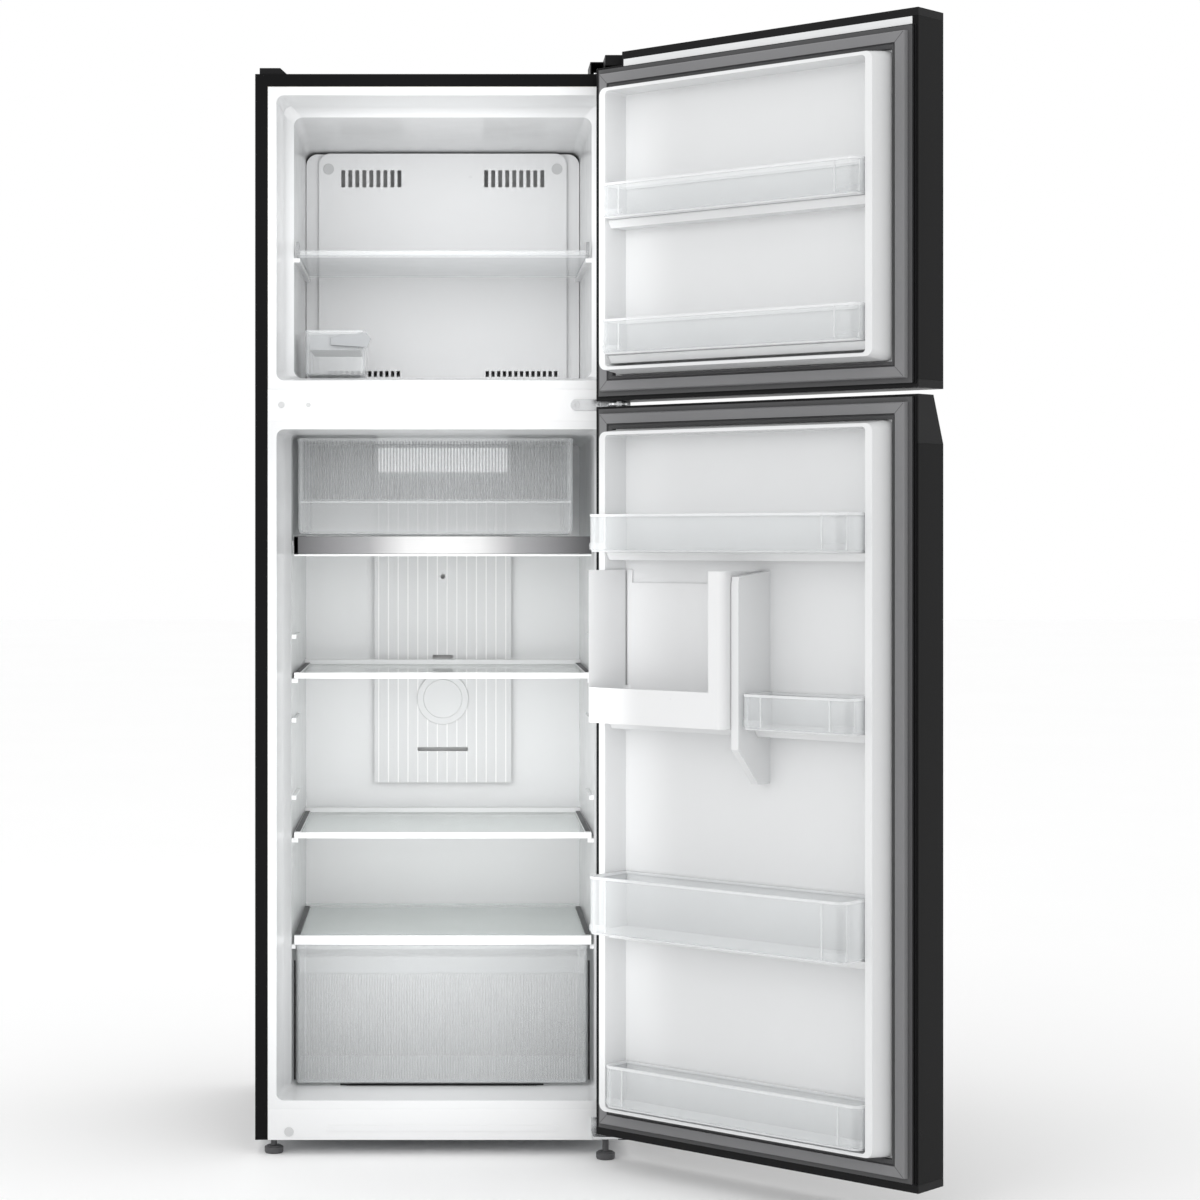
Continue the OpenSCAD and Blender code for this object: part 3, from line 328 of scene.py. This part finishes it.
def make_clear(name, base, body, rim, rough, ripple):
    """Clear moulding: thin to look through, brighter where it is seen edge on."""
    f = Finish(name, {"IOR": 1.55, "Specular IOR Level": 0.8})
    f.wear(base, 0.02, 8)
    f.gloss(rough, 0.03)
    f.relief(f.noise(90), ripple)
    edge = f.node("ShaderNodeLayerWeight", None, {"Blend": 0.35}, out="Facing")
    f.feed(f.shader.inputs["Alpha"], edge * (rim - body) + (body + 0.02 * f.noise(12)))
    return f.material


def make_lens():
    """Frosted lamp lens, lit from behind."""
    f = Finish("lamp_diffuser", {"IOR": 1.5, "Emission Strength": 0.55})
    f.wear((0.95, 0.95, 0.95), 0.02)
    f.gloss(0.45, 0.05)
    glow = f.blend(f.noise(30), (0.9, 0.93, 0.96), (1, 1, 1))
    f.feed(f.shader.inputs["Emission Color"], glow)
    f.relief(f.noise(400), 0.05)
    return f.material


FINISHES = {}


def mix_finishes(colours):
    """Makes every finish once: the record's slots, and some more for single pieces."""
    paint, liner, gasket = (tuple(c) for c in (colours.paint, colours.liner, colours.gasket))
    # Painted shade: a darker copy of the gasket colour, for the foot and folds of the bellows; the welded corner
    # seams take it too.
    painted_fold_shade = [0.42 * c for c in gasket]
    foam, soot, rubber = (0.72, 0.62, 0.36), (0.007, 0.007, 0.0075), [0.018] * 3
    even, along_tube, along_fins = (1, 1, 1), (1, 1, 6), (4, 4, 1)
    FINISHES.update(
        black_paint=make_paint("black_enamel", paint, 0.3, 0.03, 0.02),
        galvanised=make_galvanised(),
        foam=make_moulding("insulation_foam", foam, 0.85, 0.8, 180, 0.15),
        white_liner=make_moulding("white_liner_sheet", liner, 0.24, 0.02),
        white_trim=make_moulding("white_moulding", (0.77, 0.775, 0.78), 0.3, 0.015),
        black_plastic=make_moulding("black_moulding", soot, 0.42, 0.09, 800, 0.2, 0.14),
        grey_plastic=make_moulding("grey_moulding", (0.07, 0.07, 0.073), 0.5, 0.06, 700, 0.15),
        hinge_steel=make_metal("zinc_plate", (0.72, 0.73, 0.74), 0.24, even, 0.01),
        coil_aluminium=make_metal("coil_fins", (0.8, 0.81, 0.82), 0.35, along_fins, 0.02),
        # The brushed strip's colour is a painted highlight, bright in the middle and dark at the ends.
        brushed_trim=make_trim_steel(),
        lens=make_lens(),
        copper=make_metal("copper_tube", (0.78, 0.42, 0.28), 0.3, along_tube, 0.01, 0.3),
        rubber_black=make_moulding("black_rubber", rubber, 0.75, 0.1, 800, 0.2),
        gasket_grey=make_moulding("grey_gasket", gasket, 0.55, 0.03, 500, 0.05, 0.3),
        # Painted shade of the bellows' foot and folds, also used for the welded corner seams.
        gasket_bellows=make_moulding("gasket_bellows", painted_fold_shade, 0.6, 0.05, 500, 0.08, 0.2),
        tray_grey=make_moulding("ice_tray_grey", (0.3, 0.31, 0.32), 0.4, 0.02),
        filter_cap=make_moulding("filter_cap", (0.68, 0.685, 0.69), 0.35, 0.015),
        cap_grey=make_moulding("screw_cap", (0.56, 0.565, 0.57), 0.35, 0.015),
        end_grey=make_moulding("shelf_end", (0.26, 0.265, 0.27), 0.4, 0.02),
        clear_rim=make_clear("polished_rim", (0.93, 0.94, 0.95), 0.5, 0.95, 0.08, 0.004),
        lined_panel=make_lined("ribbed_panel", (0.66, 0.665, 0.67), [0.86] * 3, 17.3, 0.12),
        deep_fluting=make_clear("fluted_polystyrene", (0.34, 0.35, 0.36), 0.42, 0.95, 0.12, 0.01),
        fine_fluting=make_clear("lined_polystyrene", (0.86, 0.87, 0.88), 0.22, 0.75, 0.12, 0.01),
        shelf_glass=make_clear("toughened_glass", (0.84, 0.9, 0.88), 0.1, 0.75, 0.06, 0.002),
        clear_plastic=make_clear("clear_polystyrene", (0.9, 0.92, 0.93), 0.13, 0.85, 0.1, 0.01),
    )


# ---------------------------------------------------------------- shapes


ALIGNED = 0.99  # cosine from which an edge or a normal counts as lying along an axis


def anywhere(middle):
    """Keeps every edge, wherever its middle is."""
    return True


def swing_of(body):
    """The turn from a closed door to its open rest pose."""
    joint = next(j for j in frame["joints"] if j["child"] == body)
    pivot = Vector(joint["pos_m"]) / MM
    turn = Matrix.Rotation(-math.radians(joint["range_deg"][0]), 4, "Z")
    return Matrix.Translation(pivot) @ turn @ Matrix.Translation(-pivot)


def box_of(node, swing=None):
    """Low and high corner of a CAD node in mm, with its door swung shut if swing is given."""
    back = swing.inverted() if swing else Matrix()
    points = [back @ (v.co / MM) for v in NODES[node].data.vertices]
    return tuple(Vector(pick(p[i] for p in points) for i in range(3)) for pick in (min, max))


def add_box(bm, low, high):
    """Adds an upright box."""
    low, high = Vector(low), Vector(high)
    made = bmesh.ops.create_cube(bm, size=1)["verts"]
    bmesh.ops.scale(bm, vec=high - low, verts=made)
    bmesh.ops.translate(bm, vec=(low + high) / 2, verts=made)


def edges_along(edges, axis, keep=anywhere):
    """Edges that run along an axis, and whose middle passes keep."""
    picked = []
    for e in edges:
        way = e.verts[1].co - e.verts[0].co
        if abs(way[axis]) > ALIGNED * way.length and keep((e.verts[0].co + e.verts[1].co) / 2):
            picked.append(e)
    return picked


def round_off(bm, edges, radius, segments=4):
    """Rounds edges with an even radius."""
    return bmesh.ops.bevel(
        bm,
        geom=edges,
        offset=radius,
        offset_type="OFFSET",
        segments=segments,
        profile=0.5,
        material=-1,
        affect="EDGES",
        clamp_overlap=True,
    )["faces"]


def block(low, high, radius=0, axis=None, segments=4, keep=anywhere):
    """A box, with all its edges or those along an axis rounded."""
    bm = bmesh.new()
    add_box(bm, low, high)
    if radius:
        edges = bm.edges[:] if axis is None else edges_along(bm.edges, axis, keep)
        round_off(bm, edges, radius, segments)
    return bm


def bar(low, high, radius, segments=2):
    """A box with its edges along X rounded."""
    return block(low, high, radius, 0, segments)


def faces_to(bm, axis, side):
    """The outermost face of bm towards one side of an axis."""
    facing = [f for f in bm.faces if f.normal[axis] * side > ALIGNED]
    return max(facing, key=lambda f: (round(f.calc_center_median()[axis] * side, 3), f.calc_area()))


def tub(low, high, wall, corner, foot, keep=anywhere):
    """An open box of even wall, with rounded upright corners and a rounded bottom edge."""
    bm = block(low, high, corner, 2, 5, keep)
    round_off(bm, faces_to(bm, 2, -1).edges[:], foot, 3)
    mouth = faces_to(bm, 2, 1)
    bmesh.ops.inset_region(bm, faces=[mouth], thickness=wall, use_even_offset=True)
    made = bmesh.ops.extrude_face_region(bm, geom=[mouth])["geom"]
    sunk = [g for g in made if isinstance(g, bmesh.types.BMVert)]
    bmesh.ops.translate(bm, vec=(0, 0, low[2] + wall - high[2]), verts=sunk)
    if mouth.is_valid:
        bmesh.ops.delete(bm, geom=[mouth], context="FACES_ONLY")
    return bm


def hoop(low, high, width, corner, keep=anywhere, axis=2):
    """A frame that follows a rounded rectangle, with its opening along an axis."""
    bm = block(low, high, corner, axis, 5, keep)
    loops = []
    for side in (1, -1):
        face = faces_to(bm, axis, side)
        bmesh.ops.inset_region(bm, faces=[face], thickness=width, use_even_offset=True)
        loops += face.edges[:]
        bmesh.ops.delete(bm, geom=[face], context="FACES_ONLY")
    bmesh.ops.bridge_loops(bm, edges=loops)
    return bm


def ribs(low, high, pitch, width):
    """A row of fine upright ribs between two corners, with one on the low corner's X."""
    bm = bmesh.new()
    for i in range(int((high[0] - low[0]) / pitch) + 1):
        x = low[0] + i * pitch
        add_box(bm, (x - width / 2, *low[1:]), (x + width / 2, *high[1:]))
    return bm


def join(bm, *others):
    """Adds other shapes to bm. A pair (shape, index) gets that material index."""
    for other in others:
        other, index = other if isinstance(other, tuple) else (other, 0)
        for face in other.faces:
            face.material_index = index
        scrap = bpy.data.meshes.new("scrap")
        other.to_mesh(scrap)
        other.free()
        bm.from_mesh(scrap)
        bpy.data.meshes.remove(scrap)
    return bm


def finish_piece(
    name,
    bm,
    node,
    swing=None,
    bevel=0.6,
    angle=32,
    slot=None,
    finish=None,
    replaces=True,
    in_mm=True,
    extra=(),
):
    """Turns bm into a piece that rides with the CAD node's body.

    It has the finish of its slot, or the one given. Extra finishes follow in order,
    for the faces that join gave their index.
    """
    if swing:
        bm.transform(swing)
    if in_mm:
        bm.transform(Matrix.Scale(MM, 4))
    mesh = bpy.data.meshes.new(name)
    bm.to_mesh(mesh)
    bm.free()
    mesh.shade_smooth()
    piece = bpy.data.objects.new(name, mesh)
    bpy.context.scene.collection.objects.link(piece)
    slot = slot or SLOTS[node]
    for key in (finish or slot, *extra):
        mesh.materials.append(FINISHES[key])
    if bevel:
        soft = piece.modifiers.new("soft_edges", "BEVEL")
        soft.width, soft.segments = bevel * MM, 2
        soft.limit_method, soft.angle_limit = "ANGLE", math.radians(angle)
        even = piece.modifiers.new("even_shading", "WEIGHTED_NORMAL")
        even.keep_sharp = True
    else:
        mesh.set_sharp_from_angle(angle=math.radians(angle))
    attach(piece, BODIES[node])
    if replaces:
        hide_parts(node)


def soften(node, bevel, finish=None):
    """Stands a copy of a CAD node with softened edges in the node's place."""
    bm = bmesh.new()
    bm.from_mesh(NODES[node].data)
    bmesh.ops.remove_doubles(bm, verts=bm.verts, dist=0.02 * MM)
    bmesh.ops.dissolve_limit(
        bm, angle_limit=math.radians(0.5), verts=bm.verts, edges=bm.edges
    )
    finish_piece(
        f"{node}_moulded", bm, node, bevel=bevel, angle=40, finish=finish, in_mm=False
    )


def paint_node(node):
    """Gives a CAD node the finish of its slot."""
    mesh = NODES[node].data
    mesh.materials.clear()
    mesh.materials.append(FINISHES[SLOTS[node]])


# ---------------------------------------------------------------- operators


class FRIDGE_OT_stage(bpy.types.Operator):
    """Sets the floor, the soft lights and the camera"""

    bl_idname = "fridge.stage"
    bl_label = "Stage"

    def execute(self, context):
        self.lay_floor(context)
        self.light_studio(context)
        self.light_compartments(context)
        self.set_camera(context)
        return {"FINISHED"}

    @staticmethod
    def lay_floor(context):
        """A plain floor that runs far past the view."""
        bm = bmesh.new()
        bmesh.ops.create_grid(bm, x_segments=1, y_segments=1, size=30)
        mesh = bpy.data.meshes.new("studio_floor")
        bm.to_mesh(mesh)
        bm.free()
        floor = bpy.data.objects.new("studio_floor", mesh)
        context.scene.collection.objects.link(floor)
        ground = Finish("studio_ground", {"Specular IOR Level": 0.1})
        ground.wear((0.99, 0.99, 0.99), 0.01, 1)
        ground.gloss(0.7, 0.05, 4)
        mesh.materials.append(ground.material)

    def light_studio(self, context):
        """An even white surround, a key from the left and a weak light from above."""
        world = bpy.data.worlds.new("studio_light")
        world.use_nodes = True
        surround = world.node_tree.nodes["Background"].inputs
        surround["Color"].default_value = (1, 1, 1, 1)
        surround["Strength"].default_value = 1.0
        context.scene.world = world
        context.scene.view_settings.view_transform = "Standard"
        self.lamp(context, "key_light", (-2.4, -3.6, 2.4), (0.2, 0.0, 0.95), 2.2, 24)
        self.lamp(context, "top_light", (0.0, -0.6, 4.4), (0.1, 0.0, 0.8), 2.6, 10)

    def light_compartments(self, context):
        """A soft fill into each open compartment from just in front of its mouth."""
        before_mouth, width, share_of_height, spread = 0.32, 0.45, 0.8, 95
        for node, power in (("freezer_liner", 0.85), ("fridge_liner", 1.9)):
            low, high = (Vector(corner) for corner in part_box(node))
            middle = (low + high) / 2
            place = (middle.x, low.y - before_mouth, middle.z)
            target = (middle.x, high.y, middle.z)
            glow = self.lamp(context, f"{node}_light", place, target, width, power)
            glow.data.shape = "RECTANGLE"
            glow.data.size_y = (high.z - low.z) * share_of_height
            glow.data.spread = math.radians(spread)
            glow.visible_camera = glow.visible_glossy = False

    @staticmethod
    def set_camera(context):
        """A level view from straight ahead, with the open doors at the right."""
        data = bpy.data.cameras.new("view")
        data.lens, data.sensor_width = 83.8, 36
        data.shift_x, data.shift_y = 0.131, -0.05
        camera = bpy.data.objects.new("view", data)
        camera.location = (0, -4.465, 0.983)
        camera.rotation_euler = (math.radians(90), 0, 0)
        context.scene.collection.objects.link(camera)
        context.scene.camera = camera

    @staticmethod
    def lamp(context, name, place, target, size, power):
        """An area light of a size in metres and a power in watts, aimed at a target."""
        data = bpy.data.lights.new(name, "AREA")
        data.size, data.energy = size, power
        light = bpy.data.objects.new(name, data)
        light.location = place
        aim = Vector(target) - Vector(place)
        light.rotation_euler = aim.to_track_quat("-Z", "Y").to_euler()
        context.scene.collection.objects.link(light)
        return light


class FRIDGE_OT_hidden_works(bpy.types.Operator):
    """Gives every CAD node its finish, which shows on those that no piece replaces"""

    bl_idname = "fridge.hidden_works"
    bl_label = "Hidden works"

    def execute(self, context):
        for node in NODES:
            paint_node(node)
        return {"FINISHED"}


class FRIDGE_OT_cabinet(bpy.types.Operator):
    """Softens the steel shell, the beam, the kick plate and the top covers"""

    bl_idname = "fridge.cabinet"
    bl_label = "Cabinet"

    def execute(self, context):
        edge = context.scene.fridge_sizes.steel_edge
        soften("outer_shell", edge)
        for node in ("centre_beam_cover", "kick_plate", "top_covers"):
            soften(node, 0.5)
        soften("screw_caps", 0.4, "cap_grey")
        soften("freezer_liner", 2.0)
        soften("fridge_liner", 2.0)
        return {"FINISHED"}


class FRIDGE_OT_doors(bpy.types.Operator):
    """Softens the door skins, caps and liners"""

    bl_idname = "fridge.doors"
    bl_label = "Doors"

    def execute(self, context):
        for door in ("freezer_door", "fridge_door"):
            soften(f"{door}_skin", context.scene.fridge_sizes.steel_edge)
            soften(f"{door}_caps", 0.8)
            soften(f"{door}_liner", 1.2)
        return {"FINISHED"}


class FRIDGE_OT_gaskets(bpy.types.Operator):
    """Makes each door's gasket: a flat magnetic band, a bellows with painted shade in its folds, and a black lip
    """

    bl_idname = "fridge.gaskets"
    bl_label = "Gaskets"

    def execute(self, context):
        for door in ("freezer_door", "fridge_door"):
            swing = swing_of(door)
            low, high = box_of(f"{door}_gasket", swing)
            self.seal(door, swing, low, high, context.scene.fridge_sizes.gasket_band)
            self.lips(door, swing, low, high)
        return {"FINISHED"}

    def seal(self, door, swing, low, high, band):
        """The grey seal, inset step by step from its outer edge to its open middle.

        A step is the width it goes inwards and the height it climbs.
        """
        node = f"{door}_gasket"
        depth = high.y - low.y
        foot = [(0, 3.5), (7.2, 0)]
        flat = [(0.8, depth - 5.5), (1.5, 1.5), (band, 0)]
        folds = [(1.2, -3.5), (0.8, 0), (0.8, 2), (4.4, -3.2), (0.6, 0), (0.4, 5.2 - depth)]
        steps = foot + flat + folds
        sheet = block(low, (high.x, low.y + 0.5, high.z))
        face = faces_to(sheet, 1, 1)
        for step in steps:
            ring = bmesh.ops.inset_region(
                sheet, faces=[face], thickness=step[0], depth=step[1], use_even_offset=True
            )["faces"]
            for side in ring:
                # The foot and the folds get the darker finish: painted shade where the bellows folds.
                side.material_index = int(step not in flat)
        back = faces_to(sheet, 1, -1)
        bmesh.ops.inset_region(
            sheet, faces=[back], thickness=sum(s[0] for s in steps), use_even_offset=True
        )
        loops = face.edges[:] + back.edges[:]
        bmesh.ops.delete(sheet, geom=[face, back], context="FACES_ONLY")
        bmesh.ops.bridge_loops(sheet, edges=loops)
        for x, across in ((low.x, 1), (high.x, -1)):
            for z, up in ((low.z, 1), (high.z, -1)):
                join(sheet, (self.mitre(x, z, -math.atan2(up, across), high.y, band), 1))
        finish_piece(f"{node}_seal", sheet, node, swing, 0, angle=25, extra=["gasket_bellows"])

    @staticmethod
    def mitre(x, z, turn, top, band):
        """The welded seam across one corner of the flat band."""
        start, end, half_width = 13.6, 13.4 + band * math.sqrt(2), 0.35
        bm = block((start, top - 0.4, -half_width), (end, top + 0.15, half_width))
        bm.transform(Matrix.Rotation(turn, 4, "Y"))
        bmesh.ops.translate(bm, vec=(x, 0, z), verts=bm.verts)
        return bm

    @staticmethod
    def lips(door, swing, low, high):
        """The two black lips between the gasket and the door's edge."""
        bm = bmesh.new()
        for out, proud in ((5.4, 1.6), (2.7, 3.0)):
            lip = hoop(
                (low.x - out, low.y - 0.5, low.z - out * 0.3),
                (high.x + out, low.y + proud, high.z + out * 0.3),
                1.6,
                4,
                axis=1,
            )
            join(bm, lip)
        finish_piece(
            f"{door}_lips", bm, f"{door}_caps", swing, 0.3, slot="black_plastic", replaces=False
        )


class FRIDGE_OT_door_bins(bpy.types.Operator):
    """Makes the clear bins on the doors"""

    bl_idname = "fridge.door_bins"
    bl_label = "Door bins"

    def execute(self, context):
        sizes = context.scene.fridge_sizes
        for node in ("freezer_bin_upper", "freezer_bin_lower"):
            self.bin(sizes, node, "freezer_door")
        for node in ("fridge_bin_top", "small_bin", "large_bin", "bottom_bin"):
            self.bin(sizes, node, "fridge_door")
        soften("bottle_pocket", 1.0)
        return {"FINISHED"}

    @staticmethod
    def bin(sizes, node, door):
        """One clear bin with a bright rim and foot, two ribs in front and two stops behind."""
        swing = swing_of(door)
        low, high = box_of(node, swing)
        from_side = 38

        def front(middle):
            return middle.y > (low.y + high.y) / 2

        bm = tub(low + Vector((1, 0.5, 1)), high - Vector((1, 1, 0)), sizes.wall, 15, 4, front)
        foot = block(
            low + Vector((3, 2, 0)), (high.x - 3, high.y - 3, low.z + 3), 12, 2, 4, front
        )
        rim = hoop((low.x, low.y + 0.5, high.z - sizes.rim), high, sizes.wall + 2, 16, front)
        join(bm, (foot, 1), (rim, 1))
        for x in (low.x + from_side, high.x - from_side):
            rib = block(
                (x - 0.9, high.y - 2.6, low.z + 5), (x + 0.9, high.y - 0.2, high.z - 1), 0.5, 2, 2
            )
            join(bm, (rib, 1))
        back = high.y - sizes.wall - 7.4
        for a, b in ((low.x + 0.6, low.x + from_side), (high.x - from_side, high.x - 0.6)):
            join(bm, block((a, back, low.z + 4), (b, back + 1.5, low.z + 14), 0.5, 0, 2))
        finish_piece(f"{node}_moulded", bm, node, swing, 0.5, extra=["clear_rim"])


class FRIDGE_OT_drawers(bpy.types.Operator):
    """Makes the chiller drawer, the crisper drawer and the ice box"""

    bl_idname = "fridge.drawers"
    bl_label = "Drawers"

    def execute(self, context):
        sizes = context.scene.fridge_sizes
        self.chiller(sizes)
        self.crisper(sizes)
        # Dark strips round the crisper drawer: painted shadow in its gaps.
        self.crisper_gap_shadows()
        self.ice_box()
        soften("ice_tray", 0.8, "tray_grey")
        return {"FINISHED"}

    @staticmethod
    def chiller(sizes):
        """A clear drawer with bold fluting over the upper part of its front."""
        low, high = box_of("chiller_drawer")
        rim = 5
        split = low.z + 0.37 * (high.z - low.z)
        bm = tub(low + Vector((1, 2, 0)), high - Vector((1, 1, 0)), sizes.wall, 12, 10)
        flutes = ribs(
            (low.x + 12, low.y, split), (high.x - 12, low.y + 1.6, high.z - rim),
            sizes.rib_pitch, 2.4,
        )
        join(
            bm,
            hoop((low.x, low.y + 1, high.z - rim), high, sizes.wall + 2.5, 13),
            (flutes, 1),
            bar((low.x + 4, low.y + 0.4, split - 6), (high.x - 4, low.y + 2.4, split - 3), 0.8),
        )
        finish_piece("chiller_drawer_moulded", bm, "chiller_drawer", extra=["deep_fluting"])

    @staticmethod
    def crisper(sizes):
        """A clear drawer with fine fluting, and a plain band along the top of its front."""
        low, high = box_of("crisper_drawer")
        rim, band = 7, 48
        bm = tub(low + Vector((1, 2, 0)), high - Vector((1, 1, 0)), sizes.wall, 8, 5)
        flutes = ribs(
            (low.x + 16, low.y + 0.8, low.z + 8), (high.x - 16, low.y + 2.2, high.z - band),
            sizes.rib_pitch * 0.85, 1.6,
        )
        join(
            bm,
            hoop((low.x, low.y + 0.5, high.z - rim), high, sizes.wall + 3, 9),
            (flutes, 1),
            bar((low.x + 8, low.y, low.z + 3), (high.x - 8, low.y + 2.4, low.z + 7), 1),
            bar((low.x + 6, low.y + 6, high.z - 47), (high.x - 6, low.y + 8, high.z - 20), 0.8),
        )
        finish_piece("crisper_drawer_moulded", bm, "crisper_drawer", extra=["fine_fluting"])

    @staticmethod
    def crisper_gap_shadows():
        """Painted shadow: a dark ribbed strip under the crisper drawer and a dark strip on each side, where the
        gaps round the drawer lie in shade.
        """
        low, high = box_of("crisper_drawer")
        bm = ribs(
            (low.x + 84, low.y + 3, low.z - 3.2), (high.x - 84, low.y + 9, low.z - 0.6), 4, 2.2
        )
        join(bm, block((low.x + 72, low.y + 9, low.z - 3.6), (high.x - 72, low.y + 11, low.z - 1)))
        for a, b in ((low.x - 3.4, low.x - 0.8), (high.x + 0.8, high.x + 3.4)):
            join(bm, bar((a, low.y + 5, low.z + 6), (b, low.y + 9, high.z - 26), 1))
        finish_piece(
            "crisper_gap_shadow_strips", bm, "fridge_liner", bevel=0, slot="black_plastic", replaces=False
        )

    @staticmethod
    def ice_box():
        """The clear box under the ice tray, with its rim."""
        low, high = box_of("ice_box")
        inset = Vector((0.5, 0.5, 0))
        bm = tub(low + inset, high - inset, 2, 9, 6)
        join(bm, hoop((low.x, low.y, high.z - 4), high, 4, 9))
        finish_piece("ice_box_moulded", bm, "ice_box")


class FRIDGE_OT_shelves(bpy.types.Operator):
    """Softens the shelves and makes their dark side strips of painted shadow, end caps, front bar and brushed
    strip
    """

    bl_idname = "fridge.shelves"
    bl_label = "Shelves"

    def execute(self, context):
        for node in ("upper_shelf_trim", "lower_shelf_trim", "freezer_shelf", "crisper_cover"):
            soften(node, 1.0)
        for node in ("upper_shelf_glass", "lower_shelf_glass", "chiller_shelf"):
            soften(node, 0.5)
        # The dark strips along the sides of the shelves and the crisper's cover are painted shadow for the gaps at
        # the walls.
        for shelf in ("upper_shelf", "lower_shelf"):
            self.side_shadow_strips(f"{shelf}_trim", box_of(f"{shelf}_glass")[1].z)
        self.freezer_shelf_ends()
        self.side_shadow_strips("crisper_cover", box_of("crisper_cover")[1].z - 5)
        self.crisper_bar()
        self.chiller_strip()
        return {"FINISHED"}

    @staticmethod
    def side_shadow_strips(node, glass_top):
        """Dark grey strips along both sides of a shelf: painted shadow, put where the gap between the shelf and
        the wall lies in shade.
        """
        low, high = box_of(node)
        bm = bmesh.new()
        for a, b in ((low.x + 1, low.x + 9), (high.x - 9, high.x - 1)):
            join(bm, bar((a, low.y + 17, glass_top), (b, high.y - 14, glass_top + 2.6), 0.8))
        finish_piece(
            f"{node}_side_shadow_strips", bm, node, bevel=0, slot="grey_plastic", replaces=False
        )

    @staticmethod
    def freezer_shelf_ends():
        """The grey end caps at the front corners of the freezer's shelf, with a raked back."""
        low, high = box_of("freezer_shelf")
        bm = bmesh.new()
        for a, b in ((low.x - 0.2, low.x + 5), (high.x - 5, high.x + 0.2)):
            cap = block((a, low.y + 1.5, low.z + 3), (b, low.y + 30, high.z + 0.2))
            crown = [v for v in cap.verts if v.co.z > high.z and v.co.y > low.y + 20]
            bmesh.ops.translate(cap, vec=(0, -20, 0), verts=crown)
            round_off(cap, cap.edges[:], 0.8, 2)
            join(bm, cap)
        finish_piece(
            "freezer_shelf_ends", bm, "freezer_shelf", bevel=0, slot="grey_plastic",
            finish="end_grey", replaces=False,
        )

    @staticmethod
    def crisper_bar():
        """The white bar along the front of the crisper's glass cover."""
        low, high = box_of("crisper_cover")
        bm = bar((low.x + 0.5, low.y - 0.4, low.z), (high.x - 0.5, low.y + 6, high.z - 3.6), 1.2, 3)
        finish_piece(
            "crisper_cover_bar", bm, "crisper_cover", bevel=0, slot="white_trim", replaces=False
        )

    @staticmethod
    def chiller_strip():
        """The brushed strip of the chiller's shelf, with its painted highlight, a white foot and a black end."""
        low, high = box_of("chiller_trim")
        bm = bar((low.x, low.y, low.z + 4), high, 1.5, 3)
        join(
            bm,
            (bar((low.x, low.y + 1, low.z), (high.x, high.y, low.z + 3.4), 1.2, 3), 1),
            (bar((low.x, low.y, low.z + 3), (low.x + 7, high.y, high.z), 1.5, 3), 2),
        )
        finish_piece(
            "chiller_trim_strip", bm, "chiller_trim", bevel=0.4,
            extra=["white_trim", "black_plastic"],
        )


class FRIDGE_OT_air_covers(bpy.types.Operator):
    """Softens the covers over the evaporator, the air duct, the filter and the lamp"""

    bl_idname = "fridge.air_covers"
    bl_label = "Air covers"

    def execute(self, context):
        soften("evaporator_cover", 1.2)
        soften("air_duct_cover", 1.0, "lined_panel")
        soften("deodoriser_cover", 1.0, "filter_cap")
        soften("lamp_lens", 2.0)
        return {"FINISHED"}


class FRIDGE_OT_fittings(bpy.types.Operator):
    """Softens the hinges, feet, rollers, screws, back panel and machine room"""

    bl_idname = "fridge.fittings"
    bl_label = "Fittings"

    def execute(self, context):
        for node in ("top_hinge", "centre_hinge", "bottom_hinge", "foot_left", "foot_right"):
            soften(node, 0.5)
        for node in ("roller_left", "roller_right", "hinge_screws", "machine_cover"):
            soften(node, 0.3)
        soften("back_panel", 0.3)
        soften("base_frame", 0.6)
        return {"FINISHED"}


OPERATORS = [
    FRIDGE_OT_stage,
    FRIDGE_OT_hidden_works,
    FRIDGE_OT_cabinet,
    FRIDGE_OT_doors,
    FRIDGE_OT_gaskets,
    FRIDGE_OT_door_bins,
    FRIDGE_OT_drawers,
    FRIDGE_OT_shelves,
    FRIDGE_OT_air_covers,
    FRIDGE_OT_fittings,
]


class FRIDGE_PT_pieces(bpy.types.Panel):
    """Lists the steps that finish the refrigerator"""

    bl_idname = "FRIDGE_PT_pieces"
    bl_label = "Refrigerator"
    bl_space_type = "VIEW_3D"
    bl_region_type = "UI"
    bl_category = "Refrigerator"

    def draw(self, context):
        for group in (context.scene.fridge_sizes, context.scene.fridge_colours):
            for key in group.bl_rna.properties.keys():
                if key not in ("rna_type", "name"):
                    self.layout.prop(group, key)
        for step in OPERATORS:
            self.layout.operator(step.bl_idname)


CLASSES = [FridgeSizes, FridgeColours, *OPERATORS, FRIDGE_PT_pieces]


def register():
    for kind in CLASSES:
        bpy.utils.register_class(kind)
    bpy.types.Scene.fridge_sizes = PointerProperty(type=FridgeSizes)
    bpy.types.Scene.fridge_colours = PointerProperty(type=FridgeColours)


def unregister():
    del bpy.types.Scene.fridge_colours
    del bpy.types.Scene.fridge_sizes
    for kind in reversed(CLASSES):
        bpy.utils.unregister_class(kind)


def main():
    register()
    mix_finishes(bpy.context.scene.fridge_colours)
    for step in OPERATORS:
        group, name = step.bl_idname.split(".")
        getattr(getattr(bpy.ops, group), name)()
    bpy.context.view_layer.update()


if __name__ == "__main__":
    main()
